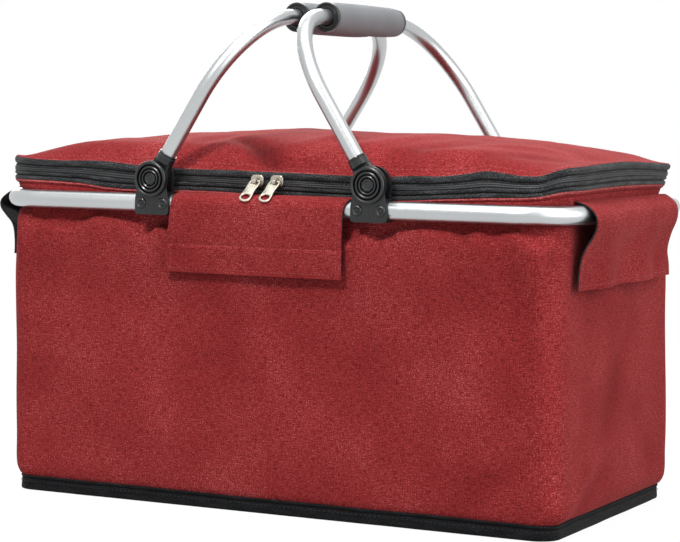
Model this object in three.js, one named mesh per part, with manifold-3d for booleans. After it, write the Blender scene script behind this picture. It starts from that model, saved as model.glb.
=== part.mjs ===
// A collapsible cooler basket on an aluminium rim, with two folding handles and a zipped lid.
// Millimetres. X runs along the length, -Y is the front, +Z is up.
// The origin is the middle of the underside, on the surface that the basket stands on.
import * as THREE from 'three';
import { mergeVertices } from 'three/addons/utils/BufferGeometryUtils.js';
import Module from 'manifold-3d';

const wasm = await Module();
wasm.setup();

// Sheets and the room between pieces that touch
const clearance = 0.3;
const cloth = 1.2;
const foam = 5;
const lining = 0.8;

// Base
const baseLength = 458;
const baseWidth = 235;
const baseCornerRadius = 13;
const bindingHeight = 11.5;
const bindingThickness = 1.5;
const panelThickness = 1.5;
const boardThickness = 2.5;

// Walls, which swell between the binding and the neck
const mouthLength = 467.4;
const mouthWidth = 244.4;
const mouthCornerRadius = 37;
const endBulge = 8.2;
const sideBulge = 4.5;
const neckHeight = 222;
const foamTop = 232;
const liningTop = 234;
const seamHeight = 235;

// Mouth band, zip and lid
const bandShoulder = 3;
const zipLength = 479.4;
const zipBottom = 244.6;
const tapeHeight = 7.6;
const tapeThickness = 1;
const coilHeight = 0.9;
const coilThickness = 1.4;
const lidFoam = 4;
const lidSideRise = 14;
const lidSideReach = 7;
const lidCrown = 13;
const lidFlatInset = 20;
const hingeStripInset = 2.7;

// Rim of bent tube, in two halves over inner joiners
const rimHeight = 233.5;
const rimTubeRadius = 7;
const rimTubeWall = 1.2;
const rimCornerRadius = 46;
const joinerLength = 80;

// Hinge blocks on the rim
const hingeSpacing = 184;
const pivotRise = 18.5;
const earRadius = 14;
const blockHalfWidth = 15;
const blockUnderTube = 1.4;
const earThickness = 3.9;
const tongueThickness = 6;
const pivotOffset = 4.1;
const blockBack = 3;
const pinRadius = 3;
const pinHeadRadius = 5.3;
const pinHeadThickness = 0.9;
const rivetSpacing = 19;
const rivetRadius = 1.7;
const rivetHeadRadius = 3.3;
const rivetHeadHeight = 1.1;

// Handles
const handleTubeRadius = 6;
const handleTubeWall = 1.2;
const handleReach = 148;
const handleCornerRadius = 73;
const tongueRadius = 9.5;
const collarStart = 15.4;
const collarEnd = 23;
const collarRadius = 7.2;
const spigotLength = 19;
const gripRadius = 11.6;
const gripLength = 114;
const gripEndRounding = 2.5;
const gripShift = 3;
const gripSpace = 2.5;
const gripRingLength = 2.8;
const gripRingRadius = 11.4;

// Flaps that cover the rim
const flapGapLeft = 1;
const flapGapRight = 5;
const endFlapInset = 3;
const sleeveDrop = 4;
const sleeveTuck = 0.35;
const tabHalfThickness = 0.8;
const tabKnee = new THREE.Vector2(-0.5, -25.5);
const tabEnd = new THREE.Vector2(-3.2, -52);

// Zip sliders and pulls
const sliderPlaces = { left: -10.3, right: 5.1 };
const sliderWidth = 9.6;
const sliderHeight = 8.6;
const sliderThickness = 2.4;
const lugWidth = 2.2;
const lugRadius = 2.2;
const lugHoleRadius = 1.25;
const lugReach = 1.8;
const lugDrop = 2;
const pullLength = 19.5;
const pullWidth = 7.6;
const pullThickness = 1;
const pullBar = 1;
const pullRail = 1.5;
const pullWindowLength = 3.2;
const pullHoleRadius = 1.7;
const pullTilt = Math.PI / 4;

// Sizes that follow from those above
const wallBase = {
  halfLength: baseLength / 2 - bindingThickness - clearance,
  halfWidth: baseWidth / 2 - bindingThickness - clearance,
  radius: baseCornerRadius - bindingThickness - clearance,
};
const mouth = { halfLength: mouthLength / 2, halfWidth: mouthWidth / 2, radius: mouthCornerRadius };
const zipLine = { halfLength: zipLength / 2, halfWidth: mouthWidth / 2, radius: mouthCornerRadius };
const boardBottom = panelThickness + clearance;
const foamFloor = boardBottom + boardThickness + clearance;
const liningFloor = foamFloor + foam + clearance;
const lowerCoilBottom = zipBottom + tapeHeight + clearance;
const upperCoilBottom = lowerCoilBottom + coilHeight + clearance;
const upperTapeBottom = upperCoilBottom + coilHeight + clearance;
const zipTop = upperTapeBottom + tapeHeight;
const lidEdge = zipTop + clearance;
const zipCentre = upperCoilBottom - clearance / 2;
const sleeveInner = rimTubeRadius + clearance;
const sleeveOuter = sleeveInner + cloth;
const rimHalfLength = mouth.halfLength + clearance + sleeveOuter;
const rimHalfWidth = mouth.halfWidth + clearance + sleeveOuter;
const hingeStripHalf = zipLine.halfLength - zipLine.radius - hingeStripInset;
const betweenBlocks = hingeSpacing - 2 * blockHalfWidth;
const sideFlapWidth = betweenBlocks - flapGapLeft - flapGapRight;
const sideFlapShift = (flapGapLeft - flapGapRight) / 2;
const endFlapWidth = 2 * (rimHalfWidth - rimCornerRadius - endFlapInset);
const pivotHeight = rimHeight + pivotRise;
const pinHole = pinRadius + clearance;
const slotHalf = tongueThickness / 2 + clearance;
const blockFront = pivotOffset + slotHalf + earThickness;
const legHalfSpan = rimHalfWidth + pivotOffset;
const gripCentre = gripRadius + gripSpace / 2;
const handleLean = Math.asin((hingeSpacing / 2 - gripCentre) / handleReach);

// Surface finishes
const finish = (color, roughness, metalness = 0) =>
  () => new THREE.MeshStandardMaterial({ color, roughness, metalness });
const redCloth = finish(0x96343c, 0.9);
const blackWebbing = finish(0x17171a, 0.85);
const liningCloth = finish(0x8d8f92, 0.5);
const paleFoam = finish(0xd8d6cf, 0.95);
const darkBoard = finish(0x2b2b2d, 0.8);
const aluminium = finish(0xb9bbbf, 0.35, 1);
const blackPlastic = finish(0x141416, 0.5);
const greyGrip = finish(0x4c4e52, 0.75);
const paleNickel = finish(0xcfc8ba, 0.3, 1);
const zipNylon = finish(0x0f0f11, 0.45);

const basket = new THREE.Group();

function place(parent, name, geometry, material) {
  const mesh = new THREE.Mesh(geometry, material());
  mesh.name = name;
  parent.add(mesh);
  return mesh;
}

// Turns a closed mesh into a solid for cutting, and back
function solid(geometry) {
  const bare = geometry.clone();
  bare.deleteAttribute('normal');
  bare.deleteAttribute('uv');
  const welded = mergeVertices(bare, 1e-5);
  return new wasm.Manifold(new wasm.Mesh({
    numProp: 3,
    vertProperties: new Float32Array(welded.attributes.position.array),
    triVerts: new Uint32Array(welded.index.array),
  }));
}

function meshOf(body) {
  const mesh = body.getMesh();
  const geometry = new THREE.BufferGeometry();
  geometry.setAttribute('position', new THREE.Float32BufferAttribute(mesh.vertProperties, 3));
  geometry.setIndex(new THREE.BufferAttribute(mesh.triVerts, 1));
  geometry.computeVertexNormals();
  return geometry;
}

function cut(geometry, tools) {
  let body = solid(geometry);
  for (const tool of tools) body = body.subtract(solid(tool));
  return meshOf(body);
}

function join(pieces) {
  let body = solid(pieces[0]);
  for (const piece of pieces.slice(1)) body = body.add(solid(piece));
  return body;
}

function cylinder(radius, length, axis, sides = 16) {
  const geometry = new THREE.CylinderGeometry(radius, radius, length, sides);
  if (axis === 'x') geometry.rotateZ(Math.PI / 2);
  if (axis === 'z') geometry.rotateX(Math.PI / 2);
  return geometry;
}

function box(width, depth, height) {
  return new THREE.BoxGeometry(width, depth, height);
}

// Outlines with round corners, drawn counterclockwise from the right end of the front
function smaller(outline, inset) {
  return {
    halfLength: outline.halfLength - inset,
    halfWidth: outline.halfWidth - inset,
    radius: Math.max(outline.radius - inset, 2),
  };
}

function roundedShape(outline, Kind = THREE.Shape) {
  const { halfLength: a, halfWidth: b, radius: r } = outline;
  const path = new Kind();
  path.moveTo(-a + r, -b);
  path.lineTo(a - r, -b);
  path.absarc(a - r, -b + r, r, -Math.PI / 2, 0);
  path.lineTo(a, b - r);
  path.absarc(a - r, b - r, r, 0, Math.PI / 2);
  path.lineTo(-a + r, b);
  path.absarc(-a + r, b - r, r, Math.PI / 2, Math.PI);
  path.lineTo(-a, -b + r);
  path.absarc(-a + r, -b + r, r, Math.PI, Math.PI * 1.5);
  return path;
}

function slab(outline, thickness, bottom) {
  const settings = { depth: thickness, bevelEnabled: false, curveSegments: 3 };
  return new THREE.ExtrudeGeometry(roundedShape(outline), settings).translate(0, 0, bottom);
}

// The points of a rounded outline, with extra ones along its straight sides where they're wanted
const cornerSteps = 4;

function ringPoints(outline, heightAt, longSteps = 1, shortSteps = 1) {
  const { halfLength: a, halfWidth: b, radius: r } = outline;
  const corners = [[1, -1], [1, 1], [-1, 1], [-1, -1]];
  const points = [];
  corners.forEach(([sx, sy], k) => {
    const start = (k - 1) * Math.PI / 2;
    for (let i = 0; i <= cornerSteps; i += 1) {
      const angle = start + i / cornerSteps * Math.PI / 2;
      const x = sx * (a - r) + r * Math.cos(angle);
      const y = sy * (b - r) + r * Math.sin(angle);
      points.push(new THREE.Vector2(x, y));
    }
    const steps = k % 2 === 0 ? shortSteps : longSteps;
    const [nextX, nextY] = corners[(k + 1) % 4];
    const from = points[points.length - 1];
    const nextAngle = start + Math.PI / 2;
    const to = new THREE.Vector2(nextX * (a - r), nextY * (b - r));
    to.add(new THREE.Vector2(Math.cos(nextAngle), Math.sin(nextAngle)).multiplyScalar(r));
    for (let i = 1; i < steps; i += 1) points.push(from.clone().lerp(to, i / steps));
  });
  return points.map((p) => new THREE.Vector3(p.x, p.y, heightAt(p.x, p.y)));
}

// Which diagonal a bent quad is folded on, the same for two skins that lie one in the other
function bulges(a, b, c, d) {
  const rise = a.z + c.z - b.z - d.z;
  return Math.abs(rise) > 1e-6 ? rise > 0 : a.z < d.z;
}

// A closed skin through rings of equal count. Either both ends are capped, or the last ring meets the first.
function skin(rings, capped) {
  const count = rings[0].length;
  const points = rings.flat();
  const faces = [];
  const strips = capped ? rings.length - 1 : rings.length;
  for (let k = 0; k < strips; k += 1) {
    const low = k * count;
    const high = ((k + 1) % rings.length) * count;
    for (let i = 0; i < count; i += 1) {
      const next = (i + 1) % count;
      const [a, b, c, d] = [low + i, low + next, high + next, high + i];
      if (bulges(points[a], points[b], points[c], points[d])) faces.push(a, b, c, a, c, d);
      else faces.push(a, b, d, b, c, d);
    }
  }
  if (capped) {
    const ends = [rings[0], rings[rings.length - 1]];
    ends.forEach((ring, side) => {
      const middle = ring.reduce((sum, p) => sum.add(p), new THREE.Vector3()).divideScalar(count);
      const centre = points.length;
      points.push(middle);
      const first = side === 0 ? 0 : (rings.length - 1) * count;
      for (let i = 0; i < count; i += 1) {
        const next = (i + 1) % count;
        if (side === 0) faces.push(centre, first + next, first + i);
        else faces.push(centre, first + i, first + next);
      }
    });
  }
  const geometry = new THREE.BufferGeometry().setFromPoints(points);
  geometry.setIndex(faces);
  geometry.computeVertexNormals();
  return geometry;
}

const swell = [0, 0.14, 0.3, 0.5, 0.7, 0.86, 1];
const wallFoot = bindingHeight + clearance;

function wallOutline(z) {
  const share = THREE.MathUtils.clamp((z - wallFoot) / (neckHeight - wallFoot), 0, 1);
  const out = Math.sin(Math.PI * share);
  const between = (key) => THREE.MathUtils.lerp(wallBase[key], mouth[key], share);
  return {
    halfLength: between('halfLength') + endBulge * out,
    halfWidth: between('halfWidth') + sideBulge * out,
    radius: between('radius'),
  };
}

function wallRings(inset, bottom, top) {
  const heights = swell.map((share) => wallFoot + share * (neckHeight - wallFoot));
  return [bottom, ...heights, top].map((z) => ringPoints(smaller(wallOutline(z), inset), () => z));
}

// A layer of the walls that has a floor, like a bucket
function bucket(inset, thickness, floor, top) {
  const outside = wallRings(inset, floor, top);
  const inside = wallRings(inset + thickness, floor + thickness, top).reverse();
  return skin([...outside, ...inside], true);
}

function addBase() {
  const outer = { halfLength: baseLength / 2, halfWidth: baseWidth / 2, radius: baseCornerRadius };
  const bindingShape = roundedShape(outer);
  bindingShape.holes.push(roundedShape(smaller(outer, bindingThickness), THREE.Path));
  const settings = { depth: bindingHeight, bevelEnabled: false, curveSegments: 3 };
  place(basket, 'base_binding', new THREE.ExtrudeGeometry(bindingShape, settings), blackWebbing);
  place(basket, 'bottom_panel', slab(wallBase, panelThickness, 0), blackWebbing);
  const board = smaller(wallBase, cloth + clearance);
  place(basket, 'base_board', slab(board, boardThickness, boardBottom), darkBoard);
}

function addWalls() {
  const top = seamHeight - clearance;
  const outside = wallRings(0, boardBottom, top);
  const inside = wallRings(cloth, boardBottom, top).reverse();
  place(basket, 'body_walls', skin([...outside, ...inside], false), redCloth);
  const foamInset = cloth + clearance;
  place(basket, 'wall_foam', bucket(foamInset, foam, foamFloor, foamTop), paleFoam);
  const liningInset = foamInset + foam + clearance;
  place(basket, 'liner', bucket(liningInset, lining, liningFloor, liningTop), liningCloth);
}

function addMouthBand() {
  const levels = [
    [mouth, seamHeight],
    [mouth, seamHeight + bandShoulder],
    [zipLine, zipBottom - clearance],
  ];
  const rings = (inset) => levels.map(([outline, z]) => ringPoints(smaller(outline, inset), () => z));
  place(basket, 'mouth_band', skin([...rings(0), ...rings(cloth).reverse()], false), redCloth);
}

// An upright band along the front, the ends and the outer parts of the back
function zipBand(thickness, height, bottom, proud = 0) {
  const outer = smaller(zipLine, -proud);
  const inner = smaller(outer, thickness);
  const start = hingeStripHalf + clearance;
  const shape = new THREE.Shape();
  const side = (outline, turns) => {
    const { halfLength: a, halfWidth: b, radius: r } = outline;
    const centres = [[a - r, b - r], [a - r, -b + r], [-a + r, -b + r], [-a + r, b - r]];
    const order = turns === 'clockwise' ? [0, 1, 2, 3] : [3, 2, 1, 0];
    order.forEach((k) => {
      const from = Math.PI / 2 - k * Math.PI / 2;
      const to = from - Math.PI / 2;
      const [x, y] = centres[k];
      if (turns === 'clockwise') shape.absarc(x, y, r, from, to, true);
      else shape.absarc(x, y, r, to, from, false);
    });
  };
  shape.moveTo(start, outer.halfWidth);
  side(outer, 'clockwise');
  shape.lineTo(-start, outer.halfWidth);
  shape.lineTo(-start, inner.halfWidth);
  side(inner, 'counterclockwise');
  shape.lineTo(start, inner.halfWidth);
  const settings = { depth: height, bevelEnabled: false, curveSegments: 3 };
  return new THREE.ExtrudeGeometry(shape, settings).translate(0, 0, bottom);
}

function addZip() {
  const tape = (bottom) => zipBand(tapeThickness, tapeHeight, bottom);
  const coil = (bottom) => zipBand(coilThickness, coilHeight, bottom);
  place(basket, 'zip_tape_lower', tape(zipBottom), blackWebbing);
  place(basket, 'zip_coil_lower', coil(lowerCoilBottom), zipNylon);
  place(basket, 'zip_coil_upper', coil(upperCoilBottom), zipNylon);
  place(basket, 'zip_tape_upper', tape(upperTapeBottom), blackWebbing);
  const strip = box(2 * hingeStripHalf, cloth, zipTop - zipBottom);
  strip.translate(0, zipLine.halfWidth - cloth / 2, (zipTop + zipBottom) / 2);
  place(basket, 'lid_hinge_strip', strip, redCloth);
}

// The lid's outside: steep at the edge, then a low crown
function lidHeight(x, y, inset) {
  const crown = (1 - (x / zipLine.halfLength) ** 2) * (1 - (y / zipLine.halfWidth) ** 2);
  return lidEdge + lidSideRise * (1 - Math.exp(-inset / lidSideReach)) + lidCrown * crown;
}

function lidRings(offset) {
  const edge = ringPoints(smaller(zipLine, offset), () => lidEdge, 4, 2);
  const rings = [edge];
  for (const inset of [4, 9, lidFlatInset]) {
    const outline = smaller(zipLine, inset + offset);
    const height = (x, y) => Math.max(lidHeight(x, y, inset) - offset, lidEdge);
    rings.push(ringPoints(outline, height, 4, 2));
  }
  const flat = smaller(zipLine, lidFlatInset + offset);
  for (const share of [0.72, 0.44, 0.16]) {
    const outline = {
      halfLength: flat.halfLength * (0.35 + 0.65 * share),
      halfWidth: flat.halfWidth * share,
      radius: flat.radius * share,
    };
    const inset = zipLine.halfWidth - outline.halfWidth;
    rings.push(ringPoints(outline, (x, y) => lidHeight(x, y, inset) - offset, 4, 2));
  }
  return rings;
}

function lidLayer(offset, thickness) {
  return skin([...lidRings(offset + thickness).reverse(), ...lidRings(offset)], true);
}

function addLid() {
  place(basket, 'lid_cover', lidLayer(0, cloth), redCloth);
  place(basket, 'lid_foam', lidLayer(cloth + clearance, lidFoam), paleFoam);
  const liningOffset = cloth + lidFoam + 2 * clearance;
  place(basket, 'lid_liner', lidLayer(liningOffset, lining), liningCloth);
}

// A route of straight stretches and round bends, with a ring of the tube only where it's wanted
class StationCurve extends THREE.Curve {
  constructor(stations) {
    super();
    this.stations = stations;
  }

  getPoint(t) {
    const last = this.stations.length - 1;
    const k = Math.min(Math.floor(t * last), last - 1);
    const from = this.stations[k].point;
    return from.clone().lerp(this.stations[k + 1].point, t * last - k);
  }

  getTangent(t) {
    const k = Math.round(t * (this.stations.length - 1));
    return this.stations[k].tangent.clone();
  }

  getUtoTmapping(u) {
    return u;
  }
}

const bendSteps = 5;
const tubeSides = 10;
const flatOfTube = Math.cos(Math.PI / tubeSides);

// A U of two bends. legs: where both legs start; the bends' outer corner sits at (top, half-span).
function arch(legStart, top, halfSpan, radius, toSpace) {
  const stations = [];
  const add = (u, v, du, dv) => stations.push({ point: toSpace(u, v), tangent: toSpace(du, dv) });
  add(legStart, -halfSpan, 1, 0);
  for (let i = 0; i <= bendSteps; i += 1) {
    const turn = i / bendSteps * Math.PI / 2;
    const u = top - radius + radius * Math.sin(turn);
    add(u, -halfSpan + radius - radius * Math.cos(turn), Math.cos(turn), Math.sin(turn));
  }
  for (let i = 0; i <= bendSteps; i += 1) {
    const turn = i / bendSteps * Math.PI / 2;
    const u = top - radius + radius * Math.cos(turn);
    add(u, halfSpan - radius + radius * Math.sin(turn), -Math.sin(turn), Math.cos(turn));
  }
  add(legStart, halfSpan, -1, 0);
  return new StationCurve(stations);
}

function tube(route, radius, wall) {
  const shape = new THREE.Shape();
  shape.absarc(0, 0, radius, 0, Math.PI * 2, false);
  const bore = new THREE.Path();
  bore.absarc(0, 0, radius - wall, 0, Math.PI * 2, true);
  shape.holes.push(bore);
  const steps = route.stations.length - 1;
  return new THREE.ExtrudeGeometry(shape, { steps, extrudePath: route, curveSegments: tubeSides / 2 });
}

const sides = { front: -1, back: 1 };
const ends = { left: -1, right: 1 };

function addRim() {
  const rivetHoles = [];
  for (const hinge of [-1, 1]) {
    for (const row of Object.values(sides)) {
      for (const side of [-1, 1]) {
        const hole = cylinder(rivetRadius + clearance, 2 * rimTubeWall + clearance, 'y', 10);
        const x = hinge * hingeSpacing / 2 + side * rivetSpacing / 2;
        hole.translate(x, row * (rimHalfWidth + rimTubeRadius - rimTubeWall / 2), rimHeight);
        rivetHoles.push(hole);
      }
    }
  }
  for (const [end, way] of Object.entries(ends)) {
    const toSpace = (u, v) => new THREE.Vector3(way * u, way * v, 0);
    const route = arch(clearance / 2, rimHalfLength, rimHalfWidth, rimCornerRadius, toSpace);
    const half = tube(route, rimTubeRadius, rimTubeWall).translate(0, 0, rimHeight);
    const holes = rivetHoles.filter((hole) => {
      hole.computeBoundingSphere();
      return hole.boundingSphere.center.x * way > 0;
    });
    place(basket, `rim_tube_${end}`, cut(half, holes), aluminium);
  }
  const joinerRadius = (rimTubeRadius - rimTubeWall) * flatOfTube - clearance;
  for (const [row, way] of Object.entries(sides)) {
    const joiner = cylinder(joinerRadius, joinerLength, 'x', tubeSides);
    joiner.translate(0, way * rimHalfWidth, rimHeight);
    place(basket, `rim_joiner_${row}`, joiner, aluminium);
  }
}

// Hinge blocks, pins and rivets are drawn with the pivot at z = 0, the tube's axis at y = 0 and the front at -Y
function hingeBlock() {
  const foot = pivotRise + rimTubeRadius + clearance + blockUnderTube;
  const w = blockHalfWidth;
  const rounding = 3;
  const shoulder = -0.65 * earRadius;
  const lift = THREE.MathUtils.degToRad(25);
  const shape = new THREE.Shape();
  shape.moveTo(-w + rounding, -foot);
  shape.lineTo(w - rounding, -foot);
  shape.absarc(w - rounding, -foot + rounding, rounding, -Math.PI / 2, 0);
  shape.lineTo(w, shoulder);
  shape.absarc(0, 0, earRadius, -lift, Math.PI + lift);
  shape.lineTo(-w, shoulder);
  shape.absarc(-w + rounding, -foot + rounding, rounding, Math.PI, Math.PI * 1.5);
  const depth = blockFront + blockBack;
  const block = new THREE.ExtrudeGeometry(shape, { depth, bevelEnabled: false, curveSegments: 4 });
  block.rotateX(Math.PI / 2).translate(0, blockBack, 0);
  const slotHeight = 2 * earRadius;
  const slot = box(4 * w, 2 * slotHalf, slotHeight);
  slot.translate(0, -pivotOffset, slotHeight / 2 - tongueRadius - clearance);
  const tubeRoom = cylinder(rimTubeRadius + clearance, 4 * w, 'x').translate(0, 0, -pivotRise);
  const pinRoom = cylinder(pinHole, 4 * depth, 'y');
  const headDepth = pinHeadThickness + clearance;
  const headRoom = cylinder(pinHeadRadius + clearance, 2 * headDepth, 'y');
  headRoom.translate(0, -blockFront, 0);
  const rivetRoom = [-1, 1].map((side) => {
    const room = cylinder(rivetRadius + clearance, blockFront, 'y', 10);
    return room.translate(side * rivetSpacing / 2, -blockFront, -pivotRise);
  });
  return cut(block, [slot, tubeRoom, pinRoom, headRoom, ...rivetRoom]);
}

// Round pieces that lie along Y: pairs of radius and place, from the one end on the axis to the other
function turned(profile, segments) {
  return new THREE.LatheGeometry(profile.map(([r, y]) => new THREE.Vector2(r, y)), segments);
}

function pivotPin() {
  const head = -blockFront + pinHeadThickness;
  const end = blockBack - clearance;
  const profile = [
    [0, -blockFront], [pinHeadRadius, -blockFront], [pinHeadRadius, head],
    [pinRadius, head], [pinRadius, end], [0, end],
  ];
  return turned(profile, 12);
}

function blockRivet() {
  const seat = -blockFront - clearance;
  const top = seat - rivetHeadHeight;
  const end = -rimTubeRadius + rimTubeWall + clearance;
  const profile = [
    [0, top], [0.6 * rivetHeadRadius, top + 0.2 * rivetHeadHeight], [rivetHeadRadius, seat],
    [rivetRadius, seat], [rivetRadius, end], [0, end],
  ];
  return turned(profile, 12);
}

function addHinges() {
  for (const [row, way] of Object.entries(sides)) {
    for (const [end, hand] of Object.entries(ends)) {
      const hinge = new THREE.Group();
      hinge.position.set(hand * hingeSpacing / 2, way * rimHalfWidth, pivotHeight);
      hinge.rotation.z = way < 0 ? 0 : Math.PI;
      basket.add(hinge);
      place(hinge, `hinge_block_${row}_${end}`, hingeBlock(), blackPlastic);
      place(hinge, `pivot_pin_${row}_${end}`, pivotPin(), blackPlastic);
      for (const [name, side] of [['outer', -1], ['inner', 1]]) {
        const turn = way < 0 ? 1 : -1;
        const x = side * rivetSpacing / 2 * -hand * turn;
        const rivet = place(hinge, `block_rivet_${row}_${end}_${name}`, blockRivet(), blackPlastic);
        rivet.position.set(x, 0, -pivotRise);
      }
    }
  }
}

// One end of a handle, drawn with the pivot at the origin and the leg along +Z
function legEnd() {
  const shape = new THREE.Shape();
  const throat = collarRadius - 0.4;
  shape.moveTo(throat, collarStart + clearance);
  shape.lineTo(-throat, collarStart + clearance);
  shape.absarc(0, 0, tongueRadius, Math.PI, Math.PI * 2);
  const tongue = new THREE.ExtrudeGeometry(shape, {
    depth: tongueThickness, bevelEnabled: false, curveSegments: 6,
  });
  tongue.rotateX(Math.PI / 2).translate(0, tongueThickness / 2, 0);
  const collar = cylinder(collarRadius, collarEnd - collarStart, 'z');
  collar.translate(0, 0, (collarStart + collarEnd) / 2);
  const bore = (handleTubeRadius - handleTubeWall) * flatOfTube;
  const spigot = cylinder(bore - clearance, spigotLength + clearance, 'z', tubeSides);
  spigot.translate(0, 0, collarEnd + (spigotLength - clearance) / 2);
  const pinRoom = cylinder(pinHole, 4 * tongueThickness, 'y');
  return meshOf(join([tongue, collar, spigot]).subtract(solid(pinRoom)));
}

function grip() {
  const half = gripLength / 2;
  const bore = handleTubeRadius + clearance;
  const round = gripEndRounding;
  const profile = [
    [bore, -half], [gripRadius - round, -half], [gripRadius - 0.3 * round, -half + 0.3 * round],
    [gripRadius, -half + round], [gripRadius, half - round],
    [gripRadius - 0.3 * round, half - 0.3 * round], [gripRadius - round, half], [bore, half], [bore, -half],
  ];
  return turned(profile, 16);
}

function gripRing() {
  const half = gripRingLength / 2;
  const bore = handleTubeRadius + clearance;
  const profile = [
    [bore, -half], [gripRingRadius, -half], [gripRingRadius, half], [bore, half], [bore, -half],
  ];
  return turned(profile, 16);
}

function addHandles() {
  for (const [end, hand] of Object.entries(ends)) {
    const handle = new THREE.Group();
    handle.position.set(hand * hingeSpacing / 2, 0, pivotHeight);
    handle.rotation.y = -hand * handleLean;
    basket.add(handle);
    const toSpace = (u, v) => new THREE.Vector3(0, v, u);
    const route = arch(collarEnd + clearance, handleReach, legHalfSpan, handleCornerRadius, toSpace);
    place(handle, `handle_tube_${end}`, tube(route, handleTubeRadius, handleTubeWall), aluminium);
    place(handle, `grip_${end}`, grip(), greyGrip).position.set(0, gripShift, handleReach);
    for (const [row, way] of Object.entries(sides)) {
      const foot = place(handle, `leg_end_${row}_${end}`, legEnd(), blackPlastic);
      foot.position.y = way * legHalfSpan;
      const ring = place(handle, `grip_ring_${row}_${end}`, gripRing(), blackPlastic);
      const y = gripLength / 2 + clearance + gripRingLength / 2;
      ring.position.set(0, gripShift + way * y, handleReach);
    }
  }
}

// Flaps are drawn with the tube's axis at the origin, outward along X and up along Y, then stood up
function stood(shape, width) {
  const settings = { depth: width, bevelEnabled: false, curveSegments: 6 };
  return new THREE.ExtrudeGeometry(shape, settings).rotateX(Math.PI / 2).translate(0, width / 2, 0);
}

function sleeveShape() {
  const shape = new THREE.Shape();
  const tuck = Math.PI + sleeveTuck;
  shape.moveTo(sleeveInner, -sleeveDrop);
  shape.lineTo(sleeveOuter, -sleeveDrop);
  shape.absarc(0, 0, sleeveOuter, 0, tuck, false);
  shape.absarc(0, 0, sleeveInner, tuck, 0, true);
  return shape;
}

const tabPivot = new THREE.Vector2(
  (sleeveInner + sleeveOuter) / 2,
  -sleeveDrop - clearance - tabHalfThickness,
);

function tabShape() {
  const t = tabHalfThickness;
  const across = (from, to) => {
    const way = to.clone().sub(from).normalize();
    return new THREE.Vector2(way.y, -way.x).multiplyScalar(t);
  };
  const upper = across(tabPivot, tabKnee);
  const lower = across(tabKnee, tabEnd);
  const knee = upper.clone().add(lower).normalize().multiplyScalar(t);
  const shape = new THREE.Shape();
  const at = (point, offset, sign) => {
    const p = point.clone().addScaledVector(offset, sign);
    shape.lineTo(p.x, p.y);
  };
  const turn = upper.angle();
  shape.moveTo(tabPivot.x + upper.x, tabPivot.y + upper.y);
  at(tabKnee, knee, 1);
  at(tabEnd, lower, 1);
  at(tabEnd, lower, -1);
  at(tabKnee, knee, -1);
  at(tabPivot, upper, -1);
  shape.absarc(tabPivot.x, tabPivot.y, t, turn + Math.PI, turn, true);
  return shape;
}

function addFlaps() {
  const flaps = {
    front: { x: sideFlapShift, y: -rimHalfWidth, turn: -Math.PI / 2, width: sideFlapWidth },
    back: { x: sideFlapShift, y: rimHalfWidth, turn: Math.PI / 2, width: sideFlapWidth },
    left: { x: -rimHalfLength, y: 0, turn: Math.PI, width: endFlapWidth },
    right: { x: rimHalfLength, y: 0, turn: 0, width: endFlapWidth },
  };
  for (const [name, flap] of Object.entries(flaps)) {
    const group = new THREE.Group();
    group.position.set(flap.x, flap.y, rimHeight);
    group.rotation.z = flap.turn;
    basket.add(group);
    place(group, `flap_sleeve_${name}`, stood(sleeveShape(), flap.width), redCloth);
    place(group, `flap_tab_${name}`, stood(tabShape(), flap.width), redCloth);
  }
}

// Sliders are drawn with the tape's face at y = 0 and the middle of the zip at z = 0
function slider() {
  const outline = { halfLength: sliderWidth / 2, halfWidth: sliderHeight / 2, radius: 3 };
  const plate = slab(outline, sliderThickness, 0).rotateX(Math.PI / 2);
  plate.translate(0, -clearance, 0);
  const face = clearance + sliderThickness;
  const lug = cylinder(lugRadius, lugWidth, 'x').translate(0, -face - lugReach, -lugDrop);
  const neck = box(lugWidth, lugReach + 1, 2 * lugRadius);
  neck.translate(0, -face - (lugReach - 1) / 2, -lugDrop);
  const eye = cylinder(lugHoleRadius, 2 * lugWidth, 'x').translate(0, -face - lugReach, -lugDrop);
  return meshOf(join([plate, neck, lug]).subtract(solid(eye)));
}

// A pull is drawn with its bar at the origin and its blade along -Y, flat in the XY plane
function pull() {
  const half = pullWidth / 2;
  const bar = pullBar / 2;
  const window = half - pullRail;
  const shape = new THREE.Shape();
  shape.moveTo(-half, bar);
  shape.lineTo(-half, -pullLength + half);
  shape.absarc(0, -pullLength + half, half, Math.PI, Math.PI * 2, false);
  shape.lineTo(half, bar);
  const opening = new THREE.Path();
  opening.moveTo(-window, -bar);
  opening.lineTo(window, -bar);
  opening.lineTo(window, -bar - pullWindowLength);
  opening.lineTo(-window, -bar - pullWindowLength);
  const eye = new THREE.Path();
  eye.absarc(0, -pullLength + half, pullHoleRadius, 0, Math.PI * 2, true);
  shape.holes.push(opening, eye);
  const settings = { depth: pullThickness, bevelEnabled: false, curveSegments: 6 };
  return new THREE.ExtrudeGeometry(shape, settings).translate(0, 0, -pullThickness / 2);
}

function addSliders() {
  for (const [name, x] of Object.entries(sliderPlaces)) {
    const group = new THREE.Group();
    group.position.set(x, -zipLine.halfWidth, zipCentre);
    basket.add(group);
    place(group, `zip_slider_${name}`, slider(), paleNickel);
    const blade = place(group, `zip_pull_${name}`, pull(), paleNickel);
    blade.position.set(0, -clearance - sliderThickness - lugReach, -lugDrop);
    blade.rotation.x = Math.PI / 2 - pullTilt;
  }
}

addBase();
addWalls();
addMouthBand();
addZip();
addLid();
addRim();
addHinges();
addHandles();
addFlaps();
addSliders();

export default basket;
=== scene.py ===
# The looks of a collapsible cooler basket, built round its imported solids.
# Metres, with the length along X, the front at -Y and Z up. Tables inside metres() are in millimetres.
import math
import bmesh
import bpy
from mathutils import Matrix, Vector, noise


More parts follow.
